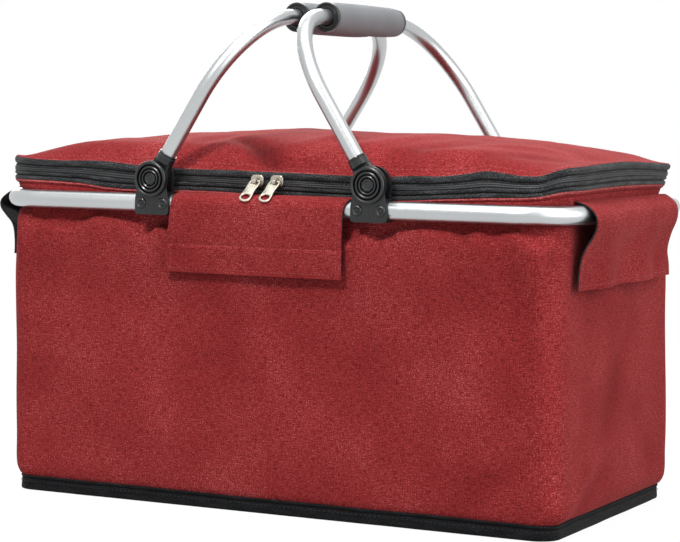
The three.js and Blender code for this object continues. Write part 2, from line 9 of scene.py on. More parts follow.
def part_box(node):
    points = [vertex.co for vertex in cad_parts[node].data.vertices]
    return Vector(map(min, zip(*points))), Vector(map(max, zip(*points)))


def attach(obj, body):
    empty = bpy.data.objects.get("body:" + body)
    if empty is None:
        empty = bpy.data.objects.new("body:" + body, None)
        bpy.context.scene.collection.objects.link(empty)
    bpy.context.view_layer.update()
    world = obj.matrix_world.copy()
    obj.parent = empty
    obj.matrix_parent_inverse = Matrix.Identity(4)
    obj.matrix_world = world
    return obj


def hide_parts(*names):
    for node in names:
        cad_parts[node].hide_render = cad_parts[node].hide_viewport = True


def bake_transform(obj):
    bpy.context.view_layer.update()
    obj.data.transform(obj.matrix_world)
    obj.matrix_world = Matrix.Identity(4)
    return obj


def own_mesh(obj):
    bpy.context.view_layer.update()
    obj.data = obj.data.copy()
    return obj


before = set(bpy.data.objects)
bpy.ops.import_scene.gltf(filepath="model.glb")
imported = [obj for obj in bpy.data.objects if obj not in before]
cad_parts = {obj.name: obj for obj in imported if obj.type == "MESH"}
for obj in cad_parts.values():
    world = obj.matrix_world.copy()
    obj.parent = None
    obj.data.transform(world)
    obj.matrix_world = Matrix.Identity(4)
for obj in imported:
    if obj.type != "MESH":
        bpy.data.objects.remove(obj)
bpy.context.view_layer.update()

scene = bpy.context.scene
ops = bmesh.ops
quarterTurn = math.pi / 2
wholeTurn = math.pi * 2
upward = Vector((0, 0, 1))
bothEnds = (("left", -1), ("right", 1))
bothRows = (("front", -1), ("back", 1))
print("frame loaded:", len(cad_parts), "nodes")


def metres(table):
    return [metres(row) for row in table] if isinstance(table, (list, tuple)) else table / 1000


# Camera, as the photograph sees the basket
cameraSet = {
    "place": Vector((0.832808, -1.642694, 0.307957)),
    "right": Vector((0.89118, 0.45348, 0.01277)),
    "up": Vector((-0.04334, 0.05708, 0.99743)),
    "lens": 122.49,
    "sensor": 36.0,
    "clip": (0.05, 60.0),
}


def addCamera(facts):
    data = bpy.data.cameras.new("camera")
    data.lens = facts["lens"]
    data.sensor_width = facts["sensor"]
    data.sensor_fit = "HORIZONTAL"
    data.clip_start, data.clip_end = facts["clip"]
    camera = bpy.data.objects.new("camera", data)
    scene.collection.objects.link(camera)
    right = facts["right"].normalized()
    back = right.cross(facts["up"]).normalized()
    turned = Matrix((right, back.cross(right), back)).transposed().to_4x4()
    camera.matrix_world = Matrix.Translation(facts["place"]) @ turned
    scene.camera = camera


addCamera(cameraSet)

# Lights and the white studio
studio = {
    "worldStrength": 0.22,
    "lampColour": (1.0, 0.99, 0.97),
    "lamps": [
        {"name": "key", "place": (-0.1, -1.85, 1.9), "aim": (0, 0, 0.18), "size": 0.45, "power": 45},
        {"name": "over", "place": (0.1, -0.1, 2.0), "aim": (0, 0, 0.25), "size": 2.2, "power": 26},
        {"name": "side", "place": (2.3, -0.6, 1.0), "aim": (0, 0, 0.18), "size": 2.4, "power": 50},
        {"name": "behind", "place": (-1.3, 2.0, 1.2), "aim": (0, 0, 0.2), "size": 1.6, "power": 42},
    ],
    "floorSize": 14.0,
    "floorDrop": 0.0004,
    "floorShade": 0.40,
    "glowShare": 0.80,
    "glowNear": 1.18,
    "fade": (0.55, 1.3),
}


def addLamps(facts):
    for lamp in facts["lamps"]:
        data = bpy.data.lights.new(lamp["name"], "AREA")
        data.energy = lamp["power"]
        data.size = lamp["size"]
        data.color = facts["lampColour"]
        light = bpy.data.objects.new(lamp["name"], data)
        scene.collection.objects.link(light)
        light.location = lamp["place"]
        way = Vector(lamp["aim"]) - Vector(lamp["place"])
        light.rotation_euler = way.to_track_quat("-Z", "Y").to_euler()


# Helpers for shader nodes
def addNode(owner, kind, inputs=None, **settings):
    node = owner.node_tree.nodes.new("ShaderNode" + kind)
    for key, value in settings.items():
        setattr(node, key, value)
    for key, value in (inputs or {}).items():
        if isinstance(value, bpy.types.NodeSocket):
            owner.node_tree.links.new(value, node.inputs[key])
        else:
            node.inputs[key].default_value = value
    return node


def calc(owner, operation, first, second):
    return addNode(owner, "Math", {0: first, 1: second}, operation=operation).outputs[0]


# One for rays from the camera and for those that gloss or glass sends on, nought for the light on cloth
def seenRays(owner):
    rays = addNode(owner, "LightPath").outputs
    seen = calc(owner, "MAXIMUM", rays["Is Camera Ray"], rays["Is Transmission Ray"])
    return calc(owner, "MAXIMUM", seen, rays["Is Glossy Ray"])


# The camera, glass and metal see a white background; the cloth is lit by a plain dimmer one
def addWorld(facts):
    world = bpy.data.worlds.new("studio")
    scene.world = world
    world.use_nodes = True
    world.node_tree.nodes.clear()
    white = (1.0, 1.0, 1.0, 1.0)
    plain = addNode(world, "Background", {"Color": white, "Strength": facts["worldStrength"]})
    bright = addNode(world, "Background", {"Color": white})
    both = addNode(world, "MixShader", {0: seenRays(world), 1: plain.outputs[0], 2: bright.outputs[0]})
    addNode(world, "OutputWorld", {"Surface": both.outputs[0]})


addLamps(studio)
addWorld(studio)
scene.view_settings.view_transform = "Standard"
print("camera and lights")


# Helpers for materials
def rgb(code):
    parts = [int(code[i:i + 2], 16) / 255 for i in (0, 2, 4)]
    return tuple(p / 12.92 if p <= 0.04045 else ((p + 0.055) / 1.055) ** 2.4 for p in parts) + (1.0,)


def newMaterial(name, **sockets):
    mat = bpy.data.materials.new(name)
    mat.use_nodes = True
    shader = mat.node_tree.nodes["Principled BSDF"]
    for key, value in sockets.items():
        shader.inputs[key.replace("_", " ")].default_value = value
    return mat


def placed(mat, source, scale):
    coords = addNode(mat, "TexCoord").outputs[source]
    scale = scale if isinstance(scale, tuple) else (scale,) * 3
    return addNode(mat, "Mapping", {"Vector": coords, "Scale": scale}).outputs["Vector"]


def noiseAt(mat, source, scale, detail=2.0):
    facts = {"Vector": placed(mat, source, scale), "Scale": 1.0, "Detail": detail}
    return addNode(mat, "TexNoise", facts).outputs["Fac"]


def wavesAt(mat, source, scale, direction):
    facts = {"Vector": placed(mat, source, scale), "Scale": 1.0 / math.pi}
    return addNode(mat, "TexWave", facts, bands_direction=direction, wave_profile="SIN").outputs["Fac"]


def weighted(mat, *parts):
    total = None
    for field, weight in parts:
        term = calc(mat, "MULTIPLY", field, weight)
        total = term if total is None else calc(mat, "ADD", total, term)
    return total


def spread(mat, field, low, high, toLow, toHigh):
    facts = {"Value": field, "From Min": low, "From Max": high, "To Min": toLow, "To Max": toHigh}
    return addNode(mat, "MapRange", facts).outputs["Result"]


def plug(mat, socket, value):
    shader = mat.node_tree.nodes["Principled BSDF"]
    mat.node_tree.links.new(value, shader.inputs[socket])


def colour(mat, field, stops):
    node = addNode(mat, "ValToRGB", {"Fac": field})
    elements = node.color_ramp.elements
    while len(elements) < len(stops):
        elements.new(0.5)
    for element, (place, code) in zip(elements, stops):
        element.position = place
        element.color = rgb(code)
    plug(mat, "Base Color", node.outputs["Color"])


# Painted shade: the attribute darkens the colour in creases, grooves and hidden edges. Below nought it is a
# painted highlight that lightens the colour
def paintedShadeColour(mat, shade, depth, stops):
    creaseAndPaintedShade = addNode(mat, "Attribute", attribute_name="creaseAndPaintedShade").outputs["Fac"]
    colour(mat, calc(mat, "SUBTRACT", shade, calc(mat, "MULTIPLY", creaseAndPaintedShade, depth)), stops)


def bump(mat, height, strength, distance):
    facts = {"Height": height, "Strength": strength, "Distance": distance}
    plug(mat, "Normal", addNode(mat, "Bump", facts).outputs["Normal"])


# Red melange cloth: dark slubs along and across, fine grain and a slow change of shade.
# The UV maps of the cloth are in metres.
clothLook = {
    "sheen": "e08080",
    "slub": (190.0, 1200.0),
    "grain": 1050.0,
    "slow": 14,
    "weave": wholeTurn / 0.0008,
    "shades": [(0.15, "481012"), (0.40, "6e1d1f"), (0.60, "862729"), (0.76, "963638"), (0.94, "bf696a")],
    "weights": {"across": 0.20, "upright": 0.17, "speckle": 0.49, "slow": 0.14},
    # how far the painted shade in creases darkens the cloth
    "creaseAndPaintedShade": 0.4,
    "bump": 0.00025,
}


def redCloth(name, facts):
    mat = newMaterial(name, Roughness=0.9, Specular_IOR_Level=0.08, Sheen_Weight=0.2, Sheen_Roughness=0.4)
    mat.node_tree.nodes["Principled BSDF"].inputs["Sheen Tint"].default_value = rgb(facts["sheen"])
    long, fine = facts["slub"]
    grain = noiseAt(mat, "UV", facts["grain"], 3.0)
    fields = {
        "across": spread(mat, noiseAt(mat, "UV", (long, fine, 1), 2.5), 0.34, 0.52, 0.0, 1.0),
        "upright": spread(mat, noiseAt(mat, "UV", (fine, long, 1), 2.5), 0.34, 0.50, 0.0, 1.0),
        "speckle": spread(mat, grain, 0.30, 0.70, 0.0, 1.0),
        "slow": spread(mat, noiseAt(mat, "UV", facts["slow"], 3.0), 0.32, 0.68, 0.0, 1.0),
    }
    shade = weighted(mat, *((fields[key], weight) for key, weight in facts["weights"].items()))
    paintedShadeColour(mat, shade, facts["creaseAndPaintedShade"], facts["shades"])
    threads = weighted(mat, *((wavesAt(mat, "UV", facts["weave"], way), 0.5) for way in "XY"))
    bump(mat, weighted(mat, (threads, 0.2), (shade, 1.2)), 0.5, facts["bump"])
    plug(mat, "Roughness", spread(mat, grain, 0.3, 0.7, 0.8, 0.96))
    return mat


def blackFabric(name, stops, ribs, gloss):
    mat = newMaterial(name, Roughness=0.8, Specular_IOR_Level=gloss, Sheen_Weight=gloss / 2)
    grain = noiseAt(mat, "UV", 1100)
    slow = noiseAt(mat, "UV", (60, 260, 60))
    shade = spread(mat, weighted(mat, (grain, 0.72), (slow, 0.28)), 0.36, 0.64, 0.1, 0.9)
    paintedShadeColour(mat, shade, 0.7, stops)
    warp = wavesAt(mat, "UV", wholeTurn / 0.0009, "X")
    weft = wavesAt(mat, "UV", wholeTurn / ribs, "Y")
    bump(mat, weighted(mat, (warp, 0.5), (weft, 0.5)), 0.4, 0.0002)
    plug(mat, "Roughness", spread(mat, grain, 0.3, 0.7, 0.6, 0.9))
    return mat


def hardPlastic(name, dark, light, roughness, grain, depth, gloss=0.3):
    mat = newMaterial(name, Roughness=roughness, Specular_IOR_Level=gloss)
    cloud = noiseAt(mat, "Object", 45, 3.0)
    fine = noiseAt(mat, "Object", grain)
    colour(mat, weighted(mat, (cloud, 0.7), (fine, 0.3)), [(0.3, dark), (0.75, light)])
    bump(mat, fine, 0.35, depth)
    plug(mat, "Roughness", spread(mat, cloud, 0.3, 0.7, roughness - 0.06, roughness + 0.08))
    return mat


def metal(name, dark, light, roughness, grain, depth):
    mat = newMaterial(name, Metallic=1.0, Roughness=roughness)
    cloud = noiseAt(mat, "Object", 7)
    fine = noiseAt(mat, "Object", grain)
    colour(mat, cloud, [(0.35, dark), (0.7, light)])
    shade = weighted(mat, (cloud, 0.5), (fine, 0.5))
    plug(mat, "Roughness", spread(mat, shade, 0.3, 0.7, roughness - 0.04, roughness + 0.06))
    bump(mat, fine, 0.05, depth)
    return mat


def liningFilm(name):
    mat = newMaterial(name, Metallic=0.55, Roughness=0.42, Specular_IOR_Level=0.5)
    crumple = noiseAt(mat, "UV", 60, 4.0)
    fine = noiseAt(mat, "UV", 420)
    colour(mat, weighted(mat, (crumple, 0.7), (fine, 0.3)), [(0.3, "8b8e92"), (0.7, "c9cbce")])
    plug(mat, "Roughness", spread(mat, fine, 0.3, 0.7, 0.34, 0.55))
    bump(mat, weighted(mat, (crumple, 1.0), (fine, 0.15)), 0.7, 0.0012)
    return mat


wallCloth = redCloth("red cloth", clothLook)
trimCloth = redCloth("red cloth, flaps", clothLook)
threadRed = hardPlastic("red thread", "8a3435", "bd6a6a", 0.7, 900, 0.0001)
threadBlack = hardPlastic("black thread", "151517", "333337", 0.6, 900, 0.0001)
bindingShades = [(0.1, "040405"), (0.55, "101113"), (0.92, "2b2d30")]
tapeShades = [(0.1, "040405"), (0.45, "161719"), (0.92, "5b5d60")]
bindingCloth = blackFabric("black binding", bindingShades, 0.0016, 0.07)
tapeCloth = blackFabric("black zip tape", tapeShades, 0.0008, 0.18)
backingCloth = blackFabric("black backing", [(0.2, "0a0a0b"), (0.8, "222225")], 0.002, 0.2)
coilNylon = hardPlastic("black coil", "0a0a0c", "2e3033", 0.32, 700, 0.0001, 0.6)
blackPlastic = hardPlastic("black plastic", "0f1012", "202224", 0.29, 900, 0.00004, 0.45)
# a darker, duller copy of the black plastic: painted shade for the disc grooves
paintedGrooveShade = hardPlastic("black plastic, painted groove shade", "030304", "0b0b0c", 0.55, 900, 0.00004, 0.15)
gripRubber = hardPlastic("grey grip", "77797d", "85888c", 0.75, 1300, 0.0001, 0.2)
boardStock = hardPlastic("dark board", "1c1c1e", "333336", 0.75, 300, 0.0002)
tubeMetal = metal("aluminium tube", "b7babc", "c1c4c5", 0.31, 300, 0.00001)
nickel = metal("pale nickel", "a59f92", "cfc9bb", 0.27, 900, 0.00004)
liningFoil = liningFilm("silver lining")
print("materials")


# Helpers for shapes
def clamp(value, low=0.0, high=1.0):
    return min(max(value, low), high)


def smooth(value, low, high):
    t = clamp((value - low) / (high - low))
    return t * t * (3 - 2 * t)


def mix(a, b, t):
    return a + (b - a) * t


def hill(x, y, z, size, seed=0.0):
    return noise.noise(Vector((x / size + seed, y / size - seed, z / size + 2 * seed)))


def arc(x, y, radius, start, turn, steps, tall=None):
    angles = [start + turn * i / steps for i in range(steps + 1)]
    return [(x + radius * math.cos(a), y + (tall or radius) * math.sin(a)) for a in angles]


def gridOf(columns, rows, size=1.0):
    bm = bmesh.new()
    ops.create_grid(bm, x_segments=columns, y_segments=rows, size=size)
    return bm


def openEdges(bm):
    return [e for e in bm.edges if e.is_boundary]


# A layer for the painted shade of each point, a painted highlight where it is below nought
def paintedShadeLayer(bm):
    return bm.verts.layers.float.new("creaseAndPaintedShade")


def tidyShell(bm):
    ops.remove_doubles(bm, verts=bm.verts, dist=1e-6)
    ops.recalc_face_normals(bm, faces=bm.faces)
    return bm


def sectionAt(bm, points, closed=True):
    verts = [bm.verts.new(point) for point in points]
    count = len(verts)
    edges = [bm.edges.new((verts[i], verts[(i + 1) % count])) for i in range(count if closed else count - 1)]
    return verts + edges


# Sweeps a section along straight runs and round quarter turns
def sweep(bm, section, moves):
    for kind, way, steps in moves:
        facts = {"cent": (0, 0, 0), "axis": upward, "dvec": (0, 0, 0), "angle": 0.0}
        if kind == "run":
            facts["dvec"] = Vector(way) / steps
        else:
            facts.update(cent=way, angle=quarterTurn)
        section = ops.spin(bm, geom=section, steps=steps, **facts)["geom_last"]


# An outline is a rounded rectangle: half length, half width and corner radius
def coreOf(outline):
    return outline[0] - outline[2], outline[1] - outline[2]


# Once round an outline, from the middle of the back by the left end, with an opening at the back
def roundMoves(outline, longSteps, shortSteps, cornerSteps, gap=0.0):
    x, y = coreOf(outline)
    halfBack = ("run", (gap - x, 0, 0), max(1, round(longSteps * (x - gap) / (2 * x))))
    return [
        halfBack,
        ("turn", (-x, y, 0), cornerSteps),
        ("run", (0, -2 * y, 0), shortSteps),
        ("turn", (-x, -y, 0), cornerSteps),
        ("run", (2 * x, 0, 0), longSteps),
        ("turn", (x, -y, 0), cornerSteps),
        ("run", (0, 2 * y, 0), shortSteps),
        ("turn", (x, y, 0), cornerSteps),
        halfBack,
    ]


def ringOf(outline, profile, steps, gap=0.0, closed=True):
    bm = bmesh.new()
    section = sectionAt(bm, [(-gap, outline[1] + out, z) for out, z in profile], closed)
    sweep(bm, section, roundMoves(outline, *steps, gap))
    if gap:
        ops.holes_fill(bm, edges=openEdges(bm), sides=0)
    return tidyShell(bm)


# A tube along a leg, round a corner, across, round the next corner and back. x, y is the first one's centre.
def tubeOf(radius, start, x, y, steps):
    leg, corner, across = steps
    moves = [
        ("run", (x - start[0], 0, 0), leg),
        ("turn", (x, y, 0), corner),
        ("run", (0, -2 * y, 0), across),
        ("turn", (x, -y, 0), corner),
        ("run", (start[0] - x, 0, 0), leg),
    ]
    bm = bmesh.new()
    circle = ops.create_circle(bm, cap_ends=False, radius=radius, segments=28)["verts"]
    place = Matrix.Translation(start) @ Matrix.Rotation(quarterTurn, 4, "Y")
    ops.transform(bm, matrix=place, verts=circle)
    sweep(bm, circle + list(bm.edges), moves)
    ops.holes_fill(bm, edges=openEdges(bm), sides=0)
    return tidyShell(bm)


# Turns all faces to look along a way, or outwards from the middle
def faceAlong(bm, way=None):
    ops.recalc_face_normals(bm, faces=bm.faces)
    middle = sum((v.co for v in bm.verts), Vector()) / len(bm.verts)
    seen = sum((way or f.calc_center_median() - middle).dot(f.normal) * f.calc_area() for f in bm.faces)
    if seen < 0:
        ops.reverse_faces(bm, faces=bm.faces)


def nearestCore(x, y, outline):
    coreX, coreY = coreOf(outline)
    return clamp(x, -coreX, coreX), clamp(y, -coreY, coreY)


# Moves a point that lies near one outline to the like place near another
def refit(x, y, old, new):
    cx, cy = nearestCore(x, y, old)
    dx, dy = x - cx, y - cy
    far = math.hypot(dx, dy) or 1e-9
    size = (far - old[2] + new[2]) / far
    (oldX, oldY), (newX, newY) = coreOf(old), coreOf(new)
    return cx * newX / oldX + dx * size, cy * newY / oldY + dy * size


def outward(x, y, outline):
    cx, cy = nearestCore(x, y, outline)
    way = Vector((x - cx, y - cy, 0))
    return way.normalized() if way.length > 1e-9 else Vector((0, 0, 0))


# How far inside an outline a point is
def edgeDistance(x, y, outline):
    coreX, coreY = coreOf(outline)
    qx, qy = abs(x) - coreX, abs(y) - coreY
    return outline[2] - math.hypot(max(qx, 0), max(qy, 0)) - min(max(qx, qy), 0)


# How far a point is round an outline, from the middle of the front by the right end
def roundLength(x, y, outline):
    coreX, coreY = coreOf(outline)
    cx, cy = nearestCore(x, y, outline)
    turn = (math.atan2(y - cy, x - cx) + quarterTurn) % wholeTurn
    if turn == 0 and cx < 0:
        turn = wholeTurn
    right, left = coreY + cx + cy, 3 * coreY - cx - cy
    runs = (right, right + 2 * (coreX - cx), left + 2 * coreX, left + 4 * coreX + 2 * cx)
    return outline[2] * turn + runs[min(int(turn / quarterTurn), 3)]


# A UV map in metres. place gives (u, v) of a point; whole is the length after which u starts again.
def layCloth(bm, place, whole=None):
    layer = bm.loops.layers.uv.verify()
    for face in bm.faces:
        spots = [list(place(loop.vert.co, face.normal)) for loop in face.loops]
        if whole and max(s[0] for s in spots) - min(s[0] for s in spots) > whole / 2:
            for spot in spots:
                if spot[0] < whole / 2:
                    spot[0] += whole
        for loop, spot in zip(face.loops, spots):
            loop[layer].uv = spot


def wrapCloth(bm, outline, shift=0.0):
    whole = roundLength(-1e-5, -outline[1], outline)
    layCloth(bm, lambda co, normal: (roundLength(co.x, co.y, outline), co.z + shift), whole)


def flatCloth(co, normal):
    return co.x, co.y


def boxCloth(co, normal):
    if abs(normal.z) > max(abs(normal.x), abs(normal.y)):
        return co.x, co.y
    return (co.x if abs(normal.y) > abs(normal.x) else co.y), co.z


def newObject(name, bm):
    mesh = bpy.data.meshes.new(name)
    bm.to_mesh(mesh)
    bm.free()
    made = bpy.data.objects.new(name, mesh)
    scene.collection.objects.link(made)
    return made


def makePiece(name, bm, materials, nodes=(), body=None, angle=None, stand=None, isSmooth=True):
    piece = newObject(name, bm)
    for mat in materials:
        piece.data.materials.append(mat)
    if stand:
        piece.data.transform(stand)
    if isSmooth:
        piece.data.shade_smooth()
    if angle:
        piece.data.set_sharp_from_angle(angle=math.radians(angle))
    if nodes:
        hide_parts(*nodes)
    if body:
        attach(piece, body)
    return piece


# For a piece drawn at the origin and cut there
def putPiece(piece, stand, node, body):
    piece.data.transform(stand)
    piece.data.shade_smooth()
    piece.data.set_sharp_from_angle(angle=math.radians(35))
    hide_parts(node)
    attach(piece, body)


def thicken(piece, thickness, offset=-1.0, innerMaterial=0, edgeMaterial=0):
    layer = piece.modifiers.new("thickness", "SOLIDIFY")
    layer.thickness = thickness
    layer.offset = offset
    layer.use_even_offset = True
    layer.material_offset = innerMaterial
    layer.material_offset_rim = edgeMaterial


def soften(piece, width, segments, angle):
    edge = piece.modifiers.new("edges", "BEVEL")
    edge.width = width
    edge.segments = segments
    edge.limit_method = "ANGLE"
    edge.angle_limit = math.radians(angle)


def settle(piece):
    graph = bpy.context.evaluated_depsgraph_get()
    mesh = bpy.data.meshes.new_from_object(piece.evaluated_get(graph))
    piece.modifiers.clear()
    piece.data = mesh


def cutWith(piece, bm, operation="DIFFERENCE"):
    cutter = newObject("cutter", bm)
    mesh = cutter.data
    carve = piece.modifiers.new("cut", "BOOLEAN")
    carve.object = cutter
    carve.operation = operation
    carve.solver = "EXACT"
    carve.use_self = True
    settle(piece)
    bpy.data.objects.remove(cutter)
    bpy.data.meshes.remove(mesh)


def boxAt(size, centre):
    bm = bmesh.new()
    ops.create_cube(bm, size=1.0, matrix=Matrix.Translation(centre) @ Matrix.Diagonal((*size, 1.0)))
    return bm


def rodAt(radius, length, segments, centre=(0, 0, 0), axis="Z"):
    bm = bmesh.new()
    turns = {"X": Matrix.Rotation(quarterTurn, 4, "Y"), "Y": Matrix.Rotation(quarterTurn, 4, "X")}
    place = Matrix.Translation(centre) @ turns.get(axis, Matrix.Identity(4))
    size = {"segments": segments, "radius1": radius, "radius2": radius, "depth": length}
    ops.create_cone(bm, cap_ends=True, matrix=place, **size)
    return bm


# A flat outline of points, made solid along a way
def plateOf(points, way):
    bm = bmesh.new()
    face = bm.faces.new([bm.verts.new(point) for point in points])
    deep = ops.extrude_face_region(bm, geom=[face])["geom"]
    ops.translate(bm, vec=way, verts=[g for g in deep if isinstance(g, bmesh.types.BMVert)])
    return tidyShell(bm)


# A round shape along Z or, from the back forwards, along Y: pairs of radius and place along it
def lathe(bm, profile, segments, axis="Y", centre=(0, 0, 0), turn=0.0):
    old = set(bm.verts)
    section = sectionAt(bm, [(radius, 0, place) for radius, place in profile], False)
    ops.spin(bm, geom=section, axis=upward, angle=wholeTurn, steps=segments, use_merge=True)
    turned = Matrix.Rotation(quarterTurn if axis == "Y" else 0.0, 4, "X") @ Matrix.Rotation(turn, 4, "Z")
    made = [v for v in bm.verts if v not in old]
    ops.transform(bm, matrix=Matrix.Translation(centre) @ turned, verts=made)
    return tidyShell(bm)


# Short stitches along routes of points, each lying in the cloth's face
def stitches(name, routes, size, lift, thread=threadRed):
    length, gap, width = size
    bm = bmesh.new()
    for route in routes:
        spent = 0.0
        wanted = 0.0
        for (start, normal), (end, _) in zip(route, route[1:]):
            span = (end - start).length
            while span > 1e-9 and wanted < spent + span:
                place = start.lerp(end, (wanted - spent) / span) + normal * lift
                way = (end - start).normalized()
                side = normal.cross(way).normalized()
                turn = Matrix((way, side, way.cross(side))).transposed().to_4x4()
                matrix = Matrix.Translation(place) @ turn @ Matrix.Diagonal((length, width, width, 1))
                ops.create_icosphere(bm, subdivisions=1, radius=0.5, matrix=matrix)
                wanted += length + gap
            spent += span
    return makePiece(name, bm, [thread])


# Which span of a line of points a share of its length falls in, and how far along the span
def spanAt(points, share):
    spans = [math.dist(a, b) for a, b in zip(points, points[1:])]
    wanted = share * sum(spans)
    i = 0
    while i < len(spans) - 1 and wanted > spans[i]:
        wanted -= spans[i]
        i += 1
    return i, min(wanted / spans[i], 1.0)


# Points at even steps round an outline, from the middle of the front by the right end
def loopPoints(outline, out, count):
    x, y = coreOf(outline)
    radius = outline[2] + out
    points = [(0.0, -y - radius)]
    for quarter, (cx, cy) in enumerate(((x, -y), (x, y), (-x, y), (-x, -y))):
        points += arc(cx, cy, radius, (quarter - 1) * quarterTurn, quarterTurn, 12)
    points.append(points[0])
    spots = []
    for k in range(count + 1):
        i, t = spanAt(points, k / count)
        spots.append([mix(a, b, t) for a, b in zip(points[i], points[i + 1])])
    return spots


# A flat net of faces in a rounded rectangle, with its height from a function
def flatRounded(outline, steps, heightAt):
    bm = gridOf(*steps)
    coreX, coreY = coreOf(outline)
    for vert in bm.verts:
        reach = max(abs(vert.co.x), abs(vert.co.y))
        x, y = vert.co.x * outline[0], vert.co.y * outline[1]
        if reach > 1e-9:
            # the ray through this point leaves the rounded shape at the share low of its way to the square
            low, high = 0.5, 1.0
            for _ in range(24):
                middle = (low + high) / 2
                qx, qy = (max(abs(a / reach * middle) - core, 0) for a, core in ((x, coreX), (y, coreY)))
                if math.hypot(qx, qy) > outline[2]:
                    high = middle
                else:
                    low = middle
            share = mix(1.0, low, smooth(reach, 0.3, 1.0))
            x, y = x * share, y * share
        vert.co = (x, y, heightAt(x, y))
    return bm


# A smooth value at a place between knots, from one column of them
def alongKnots(knots, place, column=1):
    last = len(knots) - 1
    if place <= knots[0][0]:
        return knots[0][column]
    if place >= knots[last][0]:
        return knots[last][column]
    i = 0
    while place > knots[i + 1][0]:
        i += 1
    slopes = []
    for k in (i, i + 1):
        before, after = knots[max(k - 1, 0)], knots[min(k + 1, last)]
        slopes.append((after[column] - before[column]) / (after[0] - before[0]))
    span = knots[i + 1][0] - knots[i][0]
    t = (place - knots[i][0]) / span
    s = 1 - t
    ends = knots[i][column] * s * s * (1 + 2 * t) + knots[i + 1][column] * t * t * (1 + 2 * s)
    return ends + span * t * s * (slopes[0] * s - slopes[1] * t)


# The sum at a point of soft creases: start, end, width and depth
def creaseAt(point, creases):
    total = 0.0
    for start, end, width, depth in creases:
        a, b = Vector(start), Vector(end)
        way = b - a
        t = clamp((point - a).dot(way) / way.length_squared)
        far = (point - a - way * t).length
        total += depth * math.exp(-(far / width) ** 2) * math.sin(math.pi * mix(0.12, 0.95, t))
    return total


# Waves of the zip and the seams beside it: how far each place is above or below its even line.
# The rows give a place, the rise of the lower tape's foot and the rise of the lid's edge.
mouthWaves = {
    "line": (0.2397, 0.1222, 0.037),
    "low": 0.2446,
    "high": 0.2628,
    "front": metres([
        (-245, 2.8, 5.0), (-209, 3.0, 2.4), (-181, 2.1, 1.8), (-163, 1.1, 2.1), (-144, -1.2, 1.9),
        (-115, -2.2, -0.5), (-78, -1.6, -2.1), (-42, -1.7, -2.6), (-12, -2.9, -2.9), (23, -3.6, -3.2),
        (50, -4.2, -3.9), (85, -4.6, -4.3), (118, -3.8, -3.4), (143, -2.1, -2.8), (162, -1.2, -0.4),
        (177, -0.4, 1.9), (190, 0.1, 0.8), (204, 0.6, -1.0), (217, 1.6, -0.9), (228, 2.8, 0.6),
        (240, 4.5, 3.4),
    ]),
    "rightEnd": metres([
        (-122.2, 5.2, 4.6), (-80, 6.4, 6.6), (-6, 7.4, 8.2), (60, 6.8, 6.0), (122.2, 5.0, 3.6),
    ]),
    # which corner, and how far the loose cloth is pushed out there at the tape's foot and at the lid
    "corners": [
        (-1, -1, 0.0052, 0.0046), (1, -1, 0.0020, 0.0026), (-1, 1, 0.0030, 0.0030), (1, 1, -0.0042, 0.0004),
    ],
    "cornerPlace": (0.2300, 0.1095),
    "cornerReach": 0.030,
}


def mouthRise(x, y, z):
    isFront = smooth(-y, 0.05, 0.115)
    isEnd = smooth(x, 0.214, 0.236)
    rises = []
    for column, seed in ((1, 3.1), (2, 3.4)):
        rise = 0.0042 * hill(x, y, 0, 0.085, seed)
        rise = mix(rise, alongKnots(mouthWaves["front"], x, column), isFront)
        rises.append(mix(rise, alongKnots(mouthWaves["rightEnd"], y, column), isEnd))
    bottom, top = rises
    low, high = mouthWaves["low"], mouthWaves["high"]
    return bottom * smooth(z, 0.2355, low) if z < low else mix(bottom, top, (z - low) / (high - low))


def pushCorners(point, share=1.0):
    cornerX, cornerY = mouthWaves["cornerPlace"]
    reach = mouthWaves["cornerReach"]
    height = smooth(point.z, mouthWaves["low"], mouthWaves["high"])
    moved = Vector(point)
    for sideX, sideY, low, high in mouthWaves["corners"]:
        dx, dy = point.x - sideX * cornerX, point.y - sideY * cornerY
        near = share * mix(low, high, height) * math.exp(-(dx * dx + dy * dy) / reach ** 2)
        moved += Vector((sideX * near * 0.86, sideY * near * 0.5, 0))
    return moved


def liftMouth(bm):
    for vert in bm.verts:
        moved = pushCorners(vert.co, smooth(vert.co.z, 0.2350, 0.2405))
        moved.z += mouthRise(*vert.co)
        vert.co = moved


# Base: the black binding and the panel under it
base = {
    "outline": (0.2313, 0.1199, 0.0165),
    "profile": metres([
        (-1.5, 0), (0.1, 0.2), (0.6, 1.2), (0.5, 3.0), (0.3, 6.2), (0.1, 8.5), (-0.5, 9.1), (0.4, 9.6),
        (0.8, 10.3), (0.7, 11.0), (0.1, 11.5), (-1.5, 11.5), (-1.5, 5.75),
    ]),
    "steps": (90, 44, 12),
    "lipStart": 0.0075,
    "panelSteps": (60, 32),
    "thickness": 0.0015,
    "panel": 0.0008,
    # how far out, how high and at how many places the seam's route is drawn
    "seam": (0.0006, 0.0068, 480),
    "stitch": (0.0026, 0.0012, 0.0005),
}


